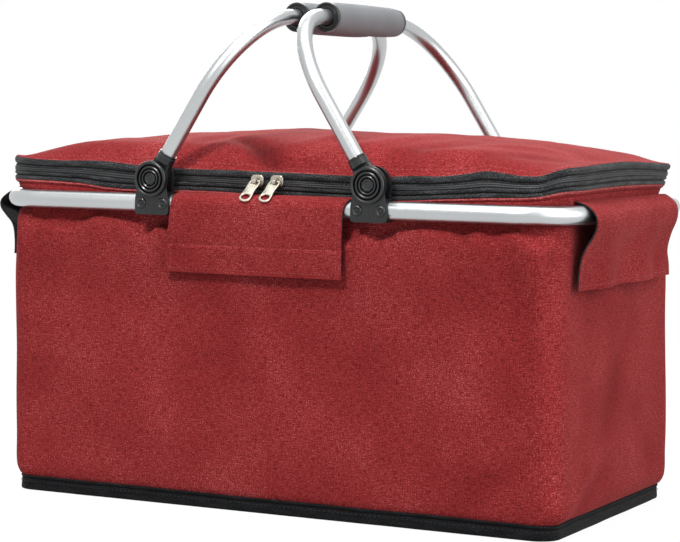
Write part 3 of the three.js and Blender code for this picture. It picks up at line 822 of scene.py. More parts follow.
def makeBase():
    outline = base["outline"]
    bm = ringOf(outline, base["profile"], base["steps"])
    layer = paintedShadeLayer(bm)
    for vert in bm.verts:
        x, y, z = vert.co
        # painted shade on the binding's inner, turned-under faces
        vert[layer] = 1.0 if edgeDistance(x, y, outline) > 0.0003 else 0.0
        vert.co += outward(x, y, outline) * 0.0005 * hill(x, y, z, 0.03, 1.0)
        if z > base["lipStart"]:
            vert.co.z += 0.0006 * hill(x, y, 0, 0.045, 2.0)
    wrapCloth(bm, outline)
    makePiece("foot_binding", bm, [bindingCloth], ["base_binding"], "base", angle=50)
    out, height, count = base["seam"]
    route = [(Vector((x, y, height)), outward(x, y, outline)) for x, y in loopPoints(outline, out, count)]
    seam = stitches("binding_stitches", [route], base["stitch"], 0.0001, threadBlack)
    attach(seam, "base")
    inner = [value - base["thickness"] for value in outline]
    bm = flatRounded(inner, base["panelSteps"], lambda x, y: 0.0006 + 0.0005 * hill(x, y, 0, 0.07, 5.0))
    ops.reverse_faces(bm, faces=bm.faces)
    layCloth(bm, flatCloth)
    panel = makePiece("under_panel", bm, [bindingCloth], ["bottom_panel"], "base")
    thicken(panel, base["panel"])


makeBase()
print("base")

# Walls: the outer cloth, with its gathers under the rim, and the lining inside
walls = {
    "mouth": (0.2337, 0.1222, 0.037),
    "low": 0.0118,
    # height, half length to the left and to the right, half width and corner radius
    "outlines": metres([
        (1.8, 228.6, 228.6, 117.4, 14.0),
        (10.4, 228.8, 228.8, 117.6, 14.0),
        (12.0, 231.8, 232.6, 119.4, 15.0),
        (20.0, 235.0, 236.3, 120.6, 15.0),
        (40.0, 236.2, 236.2, 120.9, 16.5),
        (100.0, 237.2, 235.6, 121.7, 18.5),
        (160.0, 236.2, 234.2, 123.2, 20.5),
        (203.0, 236.6, 233.8, 123.2, 22.5),
        (217.0, 236.8, 233.8, 122.8, 24.0),
        (224.5, 236.4, 233.8, 122.4, 27.0),
        (229.0, 233.7, 233.7, 122.2, 37.0),
        (234.7, 233.7, 233.7, 122.2, 37.0),
    ]),
    # how high the full cloth of the front reaches under the tube
    "gathers": metres([
        (-235, 217.0), (-215, 216.5), (-186, 212.0), (-165, 215.0), (-149, 220.5), (-135, 220.5),
        (-120, 216.0), (-104, 208.0), (-94, 216.0), (-82, 212.0), (75, 210.0), (83, 216.5), (93, 211.0),
        (105, 216.5), (118, 220.0), (132, 221.0), (150, 219.5), (160, 214.0), (172, 219.5), (182, 215.0),
        (195, 220.0), (205, 220.0), (216, 213.5), (226, 214.0), (236, 219.0),
    ]),
    "creases": metres([
        ((150, -120, 14), (222, -120, 66), 10, -1.4),
        ((234, -110, 16), (234, -30, 62), 5, 2.0),
        ((234, -90, 14), (234, -12, 46), 8, -1.6),
        ((-222, -120, 222), (-226, -120, 180), 4.5, -3.0),
        ((196, -120, 212), (214, -120, 120), 11, -1.8),
        ((234, -40, 60), (234, 20, 140), 16, -1.8),
        ((228, 80, 30), (228, 20, 90), 12, -1.4),
        ((-228, 50, 20), (-228, -30, 100), 13, -1.8),
        ((-140, 120, 16), (-210, 120, 80), 11, -2.2),
        ((80, 120, 200), (120, 120, 110), 14, -1.6),
    ]),
    "bottom": 0.0018,
    "top": 0.2347,
    "travel": 0.16,
    # rows up the wall, and steps along the long side, the short side and a corner
    "net": (84, (128, 62, 16)),
    "liningNet": (30, (70, 34, 8)),
    "thickness": 0.0012,
    "lining": 0.0073,
    "liningHeights": (0.0099, 0.234),
    "liningThickness": 0.0008,
    "floorInset": 0.006,
    "shoulder": 0.0082,
    "gather": 0.0018,
}


def wallOutlineAt(z, x, inset=0.0):
    left, right, half, radius = (alongKnots(walls["outlines"], z, column) for column in (1, 2, 3, 4))
    return (left if x < 0 else right) - inset, half - inset, max(radius - inset, 0.002)


# How far the cloth stands out from its even surface; the ends stay flatter under their flaps
def wallFolds(x, y, z, way):
    front = abs(way.y)
    reach = alongKnots(walls["gathers"], x) if y < 0 else 0.2165 + 0.009 * hill(x, y, 0, 0.024, 4.0)
    full = smooth(z, 0.150, 0.214) * (1 - smooth(z, reach - 0.0035, reach + 0.0045))
    shoulder = walls["shoulder"] * full * mix(0.08, 1.0, smooth(front, 0.7, 1.0))
    gathered = smooth(z, 0.165, 0.205) * (1 - smooth(z, 0.218, 0.229)) * mix(0.35, 1.0, front)
    gather = walls["gather"] * hill(x, y, z * 0.22, 0.020, 7.0) * 2.0 * gathered
    middle = smooth(z, 0.012, 0.06)
    slow = 0.0034 * hill(x, y, z, 0.11, 9.0) * middle * (1 - smooth(z, 0.17, 0.22)) * mix(0.3, 1.0, front)
    ripple = 0.0010 * hill(x, y, z * 0.6, 0.035, 12.0) * middle * (1 - smooth(z, 0.19, 0.225))
    return shoulder + gather + slow + ripple


def wallRing(low, high, rows, steps, inset, isOuter):
    profile = [(0.0, mix(low, high, i / rows)) for i in range(rows + 1)]
    bm = ringOf(walls["mouth"], profile, steps, closed=False)
    layer = paintedShadeLayer(bm)
    for vert in bm.verts:
        z = vert.co.z
        outline = wallOutlineAt(z, vert.co.x, inset)
        x, y = refit(vert.co.x, vert.co.y, walls["mouth"], outline)
        way = outward(x, y, outline)
        creaseAndPaintedShade = creaseAt(Vector((x, y, z)), walls["creases"])
        out = wallFolds(x, y, z, way) + creaseAndPaintedShade
        if not isOuter:
            out = min(out * 0.5, 0.0) + 0.0006 * hill(x, y, z, 0.03, 20.0)
        vert.co = Vector((x, y, z)) + way * out
        # painted shade in the wall's dents, darker where they are deeper
        vert[layer] = clamp(-creaseAndPaintedShade / 0.008)
    return bm


def makeWalls():
    top, anchor = walls["top"], walls["low"]
    bm = wallRing(walls["bottom"], top, *walls["net"], 0.0, True)
    faceAlong(bm)
    wrapCloth(bm, walls["mouth"])
    nodes = ["body_walls", "wall_foam"]
    cloth = makePiece("wall_cloth", bm, [wallCloth, backingCloth], nodes, "base")
    thicken(cloth, walls["thickness"], innerMaterial=1)
    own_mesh(cloth)
    bm = wallRing(*walls["liningHeights"], *walls["liningNet"], walls["lining"], False)
    floorEdges = [e for e in openEdges(bm) if max(v.co.z for v in e.verts) < 0.02]
    floor = ops.contextual_create(bm, geom=floorEdges)["faces"]
    ops.inset_region(bm, faces=floor, thickness=walls["floorInset"], depth=0.0)
    faceAlong(bm)
    layCloth(bm, boxCloth)
    inside = makePiece("inner_lining", bm, [liningFoil], ["liner"], "base")
    thicken(inside, walls["liningThickness"])
    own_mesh(inside)


makeWalls()
print("walls")

# Hem between the walls and the zip
hem = {
    "thickness": 0.0012,
    "shoulder": 0.2380,
    "top": 0.2449,
    "steps": (230, 110, 18),
    # height and roll of the cloth in millimetres, and its painted shade there: above nought a painted shade
    # in the groove, below nought a painted highlight on the rolled lip
    "rows": [
        (235.0, 0, 0), (236.2, 0, 0), (237.5, 0, 0), (239.0, 0, 0), (240.5, 0, 0), (241.8, -0.2, 0),
        (242.4, -0.5, 0.5), (243.0, 0.3, 0), (243.7, 0.7, -0.4), (244.4, 0.9, -0.8), (244.9, 0.7, 0),
    ],
}


def makeHem():
    mouth = walls["mouth"]
    heights = [row[0] / 1000 for row in hem["rows"]]
    profile = [(0.0, z) for z in heights] + [(-hem["thickness"], z) for z in reversed(heights)]
    bm = ringOf(mouth, profile, hem["steps"])
    layer = paintedShadeLayer(bm)
    for vert in bm.verts:
        x, y, z = vert.co
        outer = outward(x, y, mouth)
        share = clamp((z - hem["shoulder"]) / (hem["top"] - hem["shoulder"]))
        x, y = refit(x, y, mouth, [mix(a, b, share) for a, b in zip(mouth, mouthWaves["line"])])
        _, roll, shade = min(hem["rows"], key=lambda row: abs(row[0] / 1000 - z))
        belt = smooth(z, 0.236, 0.2395) * (1 - smooth(z, 0.2405, 0.2425))
        pucker = 0.0007 * max(hill(x, y, 0, 0.009, 15.0), -0.2) * belt
        vert.co = Vector((x, y, z)) + outer * (roll / 1000 + pucker)
        # painted shade of the row, or painted highlight where below nought
        vert[layer] = shade
    liftMouth(bm)
    wrapCloth(bm, mouth, 0.3)
    makePiece("mouth_hem", bm, [trimCloth], ["mouth_band"], "rim")


makeHem()

# Zip: two tapes, two coils and the sewn strip at the back
zipper = {
    "open": 0.2003,
    "tapeThickness": 0.0010,
    "tapeHeight": 0.0076,
    "tapeSteps": (150, 70, 14),
    "tapes": {"lower": 0.2446, "upper": 0.2549},
    "bodies": {"lower": "rim", "upper": "lid"},
    # a share of the tape's height, and how far its face stands out there in millimetres
    "ribs": {
        "lower": [(0, 0), (0.06, 0.5), (0.18, 0.9), (0.32, 0.9), (0.44, 0.4), (0.49, -0.4), (0.55, -0.4),
                  (0.6, 0.5), (0.68, 1.0), (0.8, 1.1), (0.92, 0.8), (1, 0)],
        "upper": [(0, 0.2), (0.05, 0.6), (0.16, 0.6), (0.21, -0.1), (0.26, -0.3), (0.31, 0.2), (0.38, 0.9),
                  (0.5, 1.4), (0.65, 1.6), (0.8, 1.4), (0.92, 0.8), (1, 0.2)],
    },
    "coils": {"lower": 0.25285, "upper": 0.25425},
    "coilOut": 0.0003,
    "coilSize": (0.00105, 0.00098),
    "coilStep": 0.00125,
    # how far every other ring of a coil is drawn in and flattened
    "coilPinch": (0.55, 0.45),
    "strip": 0.0012,
    "stripSteps": (90, 8),
}


def makeTape(place, bottom, line):
    height, thickness = zipper["tapeHeight"], zipper["tapeThickness"]
    section = [(out / 1000, bottom + share * height) for share, out in zipper["ribs"][place]]
    section += [(-thickness, bottom + height), (-thickness, bottom)]
    bm = ringOf(line, section, zipper["tapeSteps"], zipper["open"])
    layer = paintedShadeLayer(bm)
    for vert in bm.verts:
        x, y, z = vert.co
        # painted shadow along the upper tape's top under the lid's edge and along the lower tape's foot, and
        # painted shade in the grooves and on the back
        inPaintedShadow = z > bottom + 0.97 * height if place == "upper" else z < bottom + 0.0002
        vert[layer] = 1.4 if inPaintedShadow else clamp((edgeDistance(x, y, line) + 0.0003) / 0.0006)
        vert.co += outward(x, y, line) * 0.0005 * hill(x, y, z, 0.04, 17.0)
    liftMouth(bm)
    wrapCloth(bm, line)
    nodes = ["zip_tape_" + place]
    makePiece("tape_" + place, bm, [tapeCloth], nodes, zipper["bodies"][place])


def makeCoil(place, height, line):
    deep, tall = zipper["coilSize"]
    profile = arc(zipper["coilOut"], height, deep, 0.0, wholeTurn, 8, tall)[:-1]
    coreX, coreY = coreOf(line)
    steps = [round(span / zipper["coilStep"]) for span in (2 * coreX, 2 * coreY, quarterTurn * line[2])]
    bm = ringOf(line, profile, steps, zipper["open"])
    bm.verts.index_update()
    # the two coils take turns with their narrow rings
    narrow = 1 if place == "lower" else 0
    inwards, flatter = zipper["coilPinch"]
    for vert in bm.verts:
        if vert.index // len(profile) % 2 == narrow:
            x, y, z = vert.co
            vert.co += outward(x, y, line) * (edgeDistance(x, y, line) + zipper["coilOut"]) * inwards
            vert.co.z = mix(z, height, flatter)
    liftMouth(bm)
    makePiece("coil_" + place, bm, [coilNylon], ["zip_coil_" + place], zipper["bodies"][place])


def makeHingeStrip():
    low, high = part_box("lid_hinge_strip")
    bm = gridOf(*zipper["stripSteps"])
    for vert in bm.verts:
        x = vert.co.x * high.x
        z = mix(low.z, high.z, (vert.co.y + 1) / 2)
        bulge = 0.0005 * math.cos(vert.co.y * math.pi) + 0.0004 * hill(x, 0, z, 0.03, 21.0)
        vert.co = (x, high.y + bulge, z)
    liftMouth(bm)
    faceAlong(bm, Vector((0, 1, 0)))
    layCloth(bm, lambda co, normal: (co.x, co.z))
    strip = makePiece("hinge_strip", bm, [trimCloth], ["lid_hinge_strip"], "rim")
    thicken(strip, zipper["strip"])


for place, bottom in zipper["tapes"].items():
    makeTape(place, bottom, mouthWaves["line"])
for place, height in zipper["coils"].items():
    makeCoil(place, height, mouthWaves["line"])
makeHingeStrip()
print("hem and zip")

# Lid: a padded cloth dome with soft dents, and its lining
lid = {
    "edge": 0.2628,
    "rise": 0.0136,
    "sideReach": 0.026,
    "endReach": 0.088,
    "crown": 0.0136,
    "cloth": 0.0012,
    "lining": 0.0058,
    "liningInset": 0.0062,
    "liningThickness": 0.0008,
    "steps": (150, 84),
    "liningSteps": (60, 34),
    "lip": (0.0006, 0.0005),
    "seamInset": 0.0032,
    "seamPoints": 900,
    "stitch": (0.0026, 0.0013, 0.00045),
    "creases": metres([
        ((-44, -86), (14, -123.5), 8.5, -6.2),
        ((6, -117.5), (50, -119), 6, -2.6),
        ((16, -100), (50, -60), 12, 2.8),
        ((-85, -112), (-60, -60), 13, -2.2),
        ((66, -108), (110, -20), 14, 2.2),
        ((100, -112), (150, -60), 12, -2.6),
        ((165, -112), (222, -70), 10, -1.8),
        ((150, -75), (205, -30), 8, 1.6),
        ((-215, -100), (-160, -40), 14, -2.2),
        ((50, 60), (120, 105), 14, -2.4),
        ((-140, 50), (-90, 110), 15, -2.4),
    ]),
}


def rounded(far, reach):
    return 1 - (1 - clamp(far / reach)) ** 2


def lidTop(x, y):
    line = mouthWaves["line"]
    far = max(edgeDistance(x, y, line), 0.0)
    rise = lid["rise"] * rounded(far, lid["sideReach"]) * rounded(line[0] - abs(x), lid["endReach"])
    crown = lid["crown"] * (1 - (x / line[0]) ** 2) * (1 - (y / line[1]) ** 2)
    dents = creaseAt(Vector((x, y)), lid["creases"]) * smooth(far, 0.0, 0.004)
    slow = 0.0022 * hill(x, y, 0, 0.075, 31.0) * smooth(far, 0.0, 0.02)
    ripple = 0.0006 * hill(x, y, 0, 0.022, 33.0) * smooth(far, 0.0, 0.006)
    wave = mouthRise(x, y, mouthWaves["high"]) * math.exp(-far / mix(0.018, 0.040, smooth(x, 0.12, 0.22)))
    return lid["edge"] + rise + crown + dents + slow + ripple + wave


def liningTop(x, y):
    top = lidTop(x, y)
    return min(max(top - lid["lining"], lid["edge"]), top - 2 * lid["cloth"])


def makeLid():
    line = mouthWaves["line"]
    lipOut, lipDrop = lid["lip"]
    bm = flatRounded(line, lid["steps"], lidTop)
    layer = paintedShadeLayer(bm)
    for vert in bm.verts:
        # painted shade in the lid's dents, darker where they are deeper
        vert[layer] = clamp(-creaseAt(vert.co.xy, lid["creases"]) / 0.0072)
        vert.co = pushCorners(vert.co)
    faceAlong(bm, upward)
    skirt = ops.extrude_edge_only(bm, edges=openEdges(bm))["geom"]
    for vert in [g for g in skirt if isinstance(g, bmesh.types.BMVert)]:
        vert.co += outward(vert.co.x, vert.co.y, line) * lipOut
        vert.co.z -= lipDrop
        # painted highlight along the lip's edge
        vert[layer] = -0.7
    faceAlong(bm, upward)
    layCloth(bm, lambda co, normal: (co.x, co.y * 1.04 + 0.7))
    cover = makePiece("lid_cloth", bm, [wallCloth, backingCloth], ["lid_cover"], "lid")
    thicken(cover, lid["cloth"], innerMaterial=1)
    bm = flatRounded([value - lid["liningInset"] for value in line], lid["liningSteps"], liningTop)
    for vert in bm.verts:
        vert.co = pushCorners(vert.co, 0.8)
    faceAlong(bm, upward)
    layCloth(bm, flatCloth)
    inside = makePiece("lid_lining", bm, [liningFoil], ["lid_liner", "lid_foam"], "lid")
    thicken(inside, lid["liningThickness"], offset=1.0)
    route = []
    for x, y in loopPoints([value - lid["seamInset"] for value in line], 0.0, lid["seamPoints"]):
        place = Vector((x, y, lidTop(x, y)))
        out = outward(x, y, line)
        slope = (lidTop(x - out.x * 0.001, y - out.y * 0.001) - place.z) / 0.001
        route.append((pushCorners(place), (out * slope + upward).normalized()))
    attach(stitches("lid_stitches", [route], lid["stitch"], 0.0001), "lid")


makeLid()
print("lid")

# Rim of bent tube
rim = {
    "outline": (0.2425, 0.1310, 0.046),
    "height": 0.2335,
    "radius": 0.007,
    "gap": 0.00015,
    "steps": (8, 22, 8),
}


def makeRim():
    x, y = coreOf(rim["outline"])
    start = (-rim["gap"], rim["outline"][1], rim["height"])
    for end, way in bothEnds:
        bm = tubeOf(rim["radius"], start, -x, y, rim["steps"])
        if way > 0:
            ops.scale(bm, vec=(-1, 1, 1), verts=bm.verts)
            tidyShell(bm)
        makePiece("rim_" + end, bm, [tubeMetal], ["rim_tube_" + end], "rim", angle=50)


makeRim()
print("rim")

# Hinges: block, disc, pivot cap and rivets, drawn with the pivot at the origin and the front at -Y
hinge = {
    "spacing": 0.184,
    "pivotHeight": 0.2520,
    "pivotRise": 0.0185,
    "ear": 0.0140,
    "earLift": math.radians(22),
    "half": 0.0150,
    "foot": 0.0272,
    "corner": 0.0032,
    "soft": 0.0009,
    "pinSoft": 0.00022,
    "drumInset": (0.0021, 0.0004),
    "waist": (0.985, 0.55),
    "front": 0.0113,
    "footFront": 0.0084,
    "back": 0.0030,
    "pivotOffset": 0.0041,
    "slotHalf": 0.0033,
    "tongue": 0.0098,
    "bore": 0.0073,
    "rivetSpacing": 0.019,
    # from the middle outwards: pairs of radius and how far the face stands out there
    "rings": metres([
        (0, -1.3), (5.5, -1.3), (5.8, 0.3), (6.3, 0.6), (6.9, 0.3), (7.1, -1.6), (8.1, -1.6), (8.3, 0.3),
        (9.0, 0.7), (9.7, 0.3), (9.9, -1.6), (11.1, -1.6), (11.3, 0.3), (12.1, 0.9), (13.1, 0.7),
        (13.8, -0.1), (13.9, -2.8), (0, -2.8),
    ]),
    "cap": metres([
        (0, -0.3), (3.0, -0.3), (3.3, 0.3), (4.5, 0.3), (5.0, -0.3), (5.1, -1.2), (2.9, -1.2), (2.9, -13.9),
        (0, -13.9),
    ]),
    "rivet": metres([
        (0, 0.3), (1.6, 0.3), (2.0, 0.9), (2.8, 1.4), (3.6, 1.2), (4.2, 0.6), (4.4, -0.2), (4.4, -0.8),
        (1.7, -0.8), (1.7, -7.0), (0, -7.0),
    ]),
}


def blockOutline():
    half, foot, corner, lift = (hinge[key] for key in ("half", "foot", "corner", "earLift"))
    x, z = half * hinge["waist"][0], -foot * hinge["waist"][1]
    points = arc(half - corner, corner - foot, corner, -quarterTurn, quarterTurn, 6) + [(x, z)]
    points += arc(0, 0, hinge["ear"] - 0.0006, -lift, math.pi + 2 * lift, 36) + [(-x, z)]
    return points + arc(corner - half, corner - foot, corner, math.pi, quarterTurn, 6)


def makeBlock(name, stand):
    front, back, ear = hinge["footFront"], hinge["back"], hinge["ear"]
    plate = plateOf([(x, -front, z) for x, z in blockOutline()], (0, front + back, 0))
    block = makePiece("block_" + name, plate, [blackPlastic])
    front, back = hinge["front"] - hinge["drumInset"][0], back - hinge["drumInset"][1]
    cutWith(block, rodAt(ear, front + back, 56, (0, (back - front) / 2, 0), "Y"), "UNION")
    soften(block, hinge["soft"], 3, 50)
    settle(block)
    slot = (0.08, 2 * hinge["slotHalf"], 2 * ear)
    cutWith(block, boxAt(slot, (0, -hinge["pivotOffset"], ear - hinge["tongue"])))
    cutWith(block, rodAt(hinge["bore"], 0.08, 32, (0, 0, -hinge["pivotRise"]), "X"))
    putPiece(block, stand, "hinge_block_" + name, "rim")


def makeHingeFace(name, stand):
    face = (0, -hinge["front"], 0)
    bm = lathe(bmesh.new(), hinge["rings"], 64, "Y", face)
    # faces down in the rings' grooves, the hollow middle and the back take the painted shade
    for part in bm.faces:
        part.material_index = 1 if part.calc_center_median().y > 0.0005 - hinge["front"] else 0
    blacks = [blackPlastic, paintedGrooveShade]
    makePiece("disc_" + name, bm, blacks, (), "rim", angle=40, stand=stand)
    bm = lathe(bmesh.new(), hinge["cap"], 8, "Y", face, math.pi / 8)
    nodes = ["pivot_pin_" + name]
    pin = makePiece(
        "pivot_" + name, bm, [blackPlastic], nodes, "rim", stand=stand, isSmooth=False)
    soften(pin, hinge["pinSoft"], 2, 30)
    bm = bmesh.new()
    for side in (-1, 1):
        centre = (side * hinge["rivetSpacing"] / 2, -hinge["footFront"], -hinge["pivotRise"])
        lathe(bm, hinge["rivet"], 28, "Y", centre)
    nodes = [f"block_rivet_{name}_outer", f"block_rivet_{name}_inner"]
    makePiece("rivets_" + name, bm, [blackPlastic], nodes, "rim", angle=35, stand=stand)


for row, way in bothRows:
    for end, hand in bothEnds:
        place = (hand * hinge["spacing"] / 2, way * rim["outline"][1], hinge["pivotHeight"])
        stand = Matrix.Translation(place) @ Matrix.Rotation(0.0 if way < 0 else math.pi, 4, "Z")
        makeBlock(f"{row}_{end}", stand)
        makeHingeFace(f"{row}_{end}", stand)
print("hinges")

# Handles, drawn with the pivots on the line through the origin and the legs along +Z
handle = {
    "reach": 0.148,
    "corner": 0.073,
    "radius": 0.006,
    "steps": (8, 26, 12),
    "legHalf": 0.1351,
    "tubeStart": 0.0222,
    "lean": 32.331,
    "eye": (0.0095, 0.006),
    "neck": (0.0180, 0.0059, 0.0170),
    "taper": 0.74,
    "soft": 0.0005,
    "collar": metres([
        (0, 15.4), (6.6, 15.4), (7.2, 16.0), (7.2, 20.8), (6.8, 21.2), (6.8, 21.7), (7.2, 22.1), (7.0, 23.0),
        (0, 23.0),
    ]),
    "gripRadius": 0.0116,
    "gripHalf": 0.0601,
    "gripBore": 0.0063,
    "gripShift": 0.003,
    "gripSteps": 30,
    "ring": 0.0029,
    "ringProfile": metres([
        (6.2, -0.4), (6.8, 0), (7.4, -0.9), (9.0, -0.9), (9.8, 0), (10.9, 0), (11.4, -0.5), (11.4, -3.0),
        (6.2, -3.0), (6.2, -0.4),
    ]),
}


def makeHandleTube(end, stand):
    half, corner = handle["legHalf"], handle["corner"]
    start = (handle["tubeStart"], -half, 0)
    # drawn flat first, with the legs along +X
    bm = tubeOf(handle["radius"], start, handle["reach"] - corner, corner - half, handle["steps"])
    upright = stand @ Matrix.Rotation(-quarterTurn, 4, "Y")
    nodes = ["handle_tube_" + end]
    body = "handle_" + end
    makePiece(body, bm, [tubeMetal], nodes, body, angle=50, stand=upright)


def makeGrip(end, stand):
    half, radius, ring = handle["gripHalf"], handle["gripRadius"], handle["ring"]
    place = stand @ Matrix.Translation((0, handle["gripShift"], handle["reach"]))
    lip = ring - half
    profile = [(handle["gripBore"], lip), (radius - 0.0008, lip), (radius - 0.0003, lip + 0.0004)]
    steps = handle["gripSteps"]
    for share in [i / steps * 2 - 1 for i in range(steps + 1)]:
        swell = 0.0005 * (1 - share ** 4)
        profile.append((radius - 0.0002 + swell, share * (half - ring - 0.0010)))
    profile += [(r, -y) for r, y in reversed(profile[:3])]
    bm = lathe(bmesh.new(), profile + profile[:1], 56)
    for vert in bm.verts:
        # a little fuller underneath, where the fingers hold it
        if math.hypot(vert.co.x, vert.co.z) > 0.009 and vert.co.z < 0:
            vert.co.z -= 0.0007 * smooth(-vert.co.z, 0.0, 0.012) * (1 - (vert.co.y / half) ** 4)
    body = "handle_" + end
    nodes = ["grip_" + end]
    makePiece("grip_cover_" + end, bm, [gripRubber], nodes, body, angle=40, stand=place)
    for row, way in bothRows:
        bm = lathe(bmesh.new(), [(r, -way * (y + half)) for r, y in handle["ringProfile"]], 56)
        nodes = [f"grip_ring_{row}_{end}"]
        name = f"grip_end_{row}_{end}"
        makePiece(name, bm, [blackPlastic], nodes, body, angle=40, stand=place)


def makeLegEnd(end, row, way, stand):
    radius, depth = handle["eye"]
    name = f"{row}_{end}"
    piece = makePiece("leg_" + name, rodAt(radius, depth, 40, axis="Y"), [blackPlastic])
    neck = boxAt(handle["neck"], (0, 0, handle["neck"][2] / 2))
    for vert in neck.verts:
        if vert.co.z > 0.005:
            vert.co.x *= handle["taper"]
    cutWith(piece, neck, "UNION")
    soften(piece, handle["soft"], 2, 50)
    settle(piece)
    cutWith(piece, lathe(bmesh.new(), handle["collar"], 40, "Z"), "UNION")
    place = stand @ Matrix.Translation((0, way * handle["legHalf"], 0))
    putPiece(piece, place, "leg_end_" + name, "handle_" + end)


for end, hand in bothEnds:
    place = Matrix.Translation((hand * hinge["spacing"] / 2, 0, hinge["pivotHeight"]))
    stand = place @ Matrix.Rotation(math.radians(-hand * handle["lean"]), 4, "Y")
    makeHandleTube(end, stand)
    makeGrip(end, stand)
    for row, way in bothRows:
        makeLegEnd(end, row, way, stand)
print("handles")


# Flaps over the rim. A profile goes from the hem behind the tube, over it and down, in millimetres out
# from the tube's axis and up from it; one profile for each upright edge of the flap. The long flaps' edges
# differ only in the first two heights and in how far they hang out.
def longEdge(heights, hang):
    over = [(0.0, 8.5), (5.6, 6.5), (8.5, 1.5), (8.6, -5)]
    return [*zip((-8.6, -5.0), heights), *over, *zip(hang, (-16, -28, -40, -52))]


# low and high are the places along the rim of the two upright edges, at shares of the profile
flaps = {
    "thickness": 0.0011,
    "steps": (64, 90),
    "bend": (0.2330, 0.2190),
    "stitch": (0.0022, 0.0013, 0.00045),
    "seamInset": (0.0045, 0.0042),
    "seamStart": 0.12,
    "seamPoints": 160,
    "front": {
        "out": (0, -1),
        "low": [(0, -0.0740), (0.25, -0.0744), (1, -0.0845)],
        "high": [(0, 0.0770), (0.14, 0.0755), (0.32, 0.0712), (1, 0.0680)],
        "edges": [longEdge((10.2, 9.2), (7.6, 5.8, 3.4, 1.6)), longEdge((10.2, 9.2), (7.9, 6.4, 4.6, 3.0))],
        "fold": 0.0005, "seed": 41.0, "hem": 0.0215,
    },
    "back": {
        "out": (0, 1),
        "low": [(0, -0.0755), (1, -0.0700)],
        "high": [(0, 0.0715), (1, 0.0745)],
        "edges": [longEdge((9.8, 9.0), (7.6, 6.2, 5.0, 4.4)), longEdge((9.8, 9.0), (7.4, 5.8, 4.2, 3.2))],
        "fold": 0.0006, "seed": 47.0, "hem": 0.0215,
    },
    "left": {
        "out": (-1, 0),
        "low": [(0, -0.0890), (1, -0.0960)],
        "high": [(0, 0.0840), (1, 0.0850)],
        "edges": [
            [(-9.6, 10.2), (-3.5, 9.4), (4.0, 7.6), (13.5, 3.4), (21.5, -3.0), (22.0, -9.0), (16.5, -15.5),
             (10.5, -21.5), (7.4, -28.0), (6.2, -37.0), (5.8, -46.5)],
            [(-8.6, 9.9), (-4.0, 9.8), (1.0, 9.6), (7.2, 8.0), (11.0, 2.5), (10.4, -5.0), (7.4, -15),
             (3.6, -28), (2.4, -41), (3.4, -53.0)],
        ],
        "fold": 0.0022, "seed": 57.0, "hem": 0.0,
    },
    "right": {
        "out": (1, 0),
        "low": [(0, -0.0970), (0.2, -0.0995), (0.6, -0.0998), (1, -0.0980)],
        "high": [(0, 0.0830), (1, 0.0830)],
        "edges": [
            [(-9.8, 10.6), (-4.2, 9.4), (3.4, 6.9), (9.6, 1.4), (11.8, -5.8), (9.4, -13.2), (3.6, -23.0),
             (-0.2, -32.6), (-2.4, -44.5), (-3.0, -54.6)],
            [(-9.6, 10.2), (-5.0, 10.3), (-0.6, 9.8), (6.7, 4.2), (9.0, -2.8), (7.8, -11.5), (3.2, -22.6),
             (1.2, -32.9), (2.0, -43.4), (2.8, -52.5)],
        ],
        "fold": 0.0062, "seed": 52.0, "hem": 0.0,
    },
}


# A smooth line through points, at a share of its length
def alongCurve(points, share):
    i, t = spanAt(points, share)
    four = [points[k] for k in (max(i - 1, 0), i, i + 1, min(i + 2, len(points) - 1))]
    place = []
    for a, b, c, d in zip(*four):
        square = 2 * a - 5 * b + 4 * c - d
        cube = 3 * b - 3 * c + d - a
        place.append(0.5 * (2 * b + (c - a) * t + square * t * t + cube * t ** 3))
    return place


def flapPoint(facts, s, t):
    first, last = (alongCurve(edge, t) for edge in facts["edges"])
    out, high = (mix(a, b, smooth(s, 0.0, 1.0)) / 1000 for a, b in zip(first, last))
    seed = facts["seed"]
    wave = math.cos((s * 2.3 + 0.25 * noise.noise(Vector((s * 3, t * 2, seed)))) * wholeTurn)
    held = smooth(t, 0.3, 0.75) * smooth(s, 0.0, 0.25) * smooth(1 - s, 0.0, 0.2)
    out += facts["fold"] * 0.5 * (1 - wave) * held
    out += 0.0007 * noise.noise(Vector((s * 9, t * 5, seed + 3))) * smooth(t, 0.25, 0.5)
    if facts["hem"]:
        # the doubled hem stands out a little, behind a pulled-in line of stitches
        past = ((t - 1) * facts["length"] + facts["hem"]) / 0.0012
        out += 0.0006 * smooth(past, -1.0, 1.0) - 0.0005 * math.exp(-past * past)
    side = mix(alongKnots(facts["low"], t), alongKnots(facts["high"], t), s)
    ox, oy = facts["out"]
    halfX, halfY, _ = rim["outline"]
    if oy < 0:
        # the sewn edge follows the hem up and down
        high += mouthRise(side, -halfY, mouthWaves["low"]) * (1 - smooth(t, 0.0, 0.09))
    x = ox * (halfX + out) + abs(oy) * side
    y = oy * (halfY + out) + abs(ox) * side
    return Vector((x, y, rim["height"] + high))


def flapNormal(facts, s, t):
    step = 0.004
    across = flapPoint(facts, min(s + step, 1), t) - flapPoint(facts, max(s - step, 0), t)
    down = flapPoint(facts, s, min(t + step, 1)) - flapPoint(facts, s, max(t - step, 0))
    normal = across.cross(down).normalized()
    out = Vector((*facts["out"], 0 if t > 0.3 else 1))
    return normal if normal.dot(out) > 0 else -normal


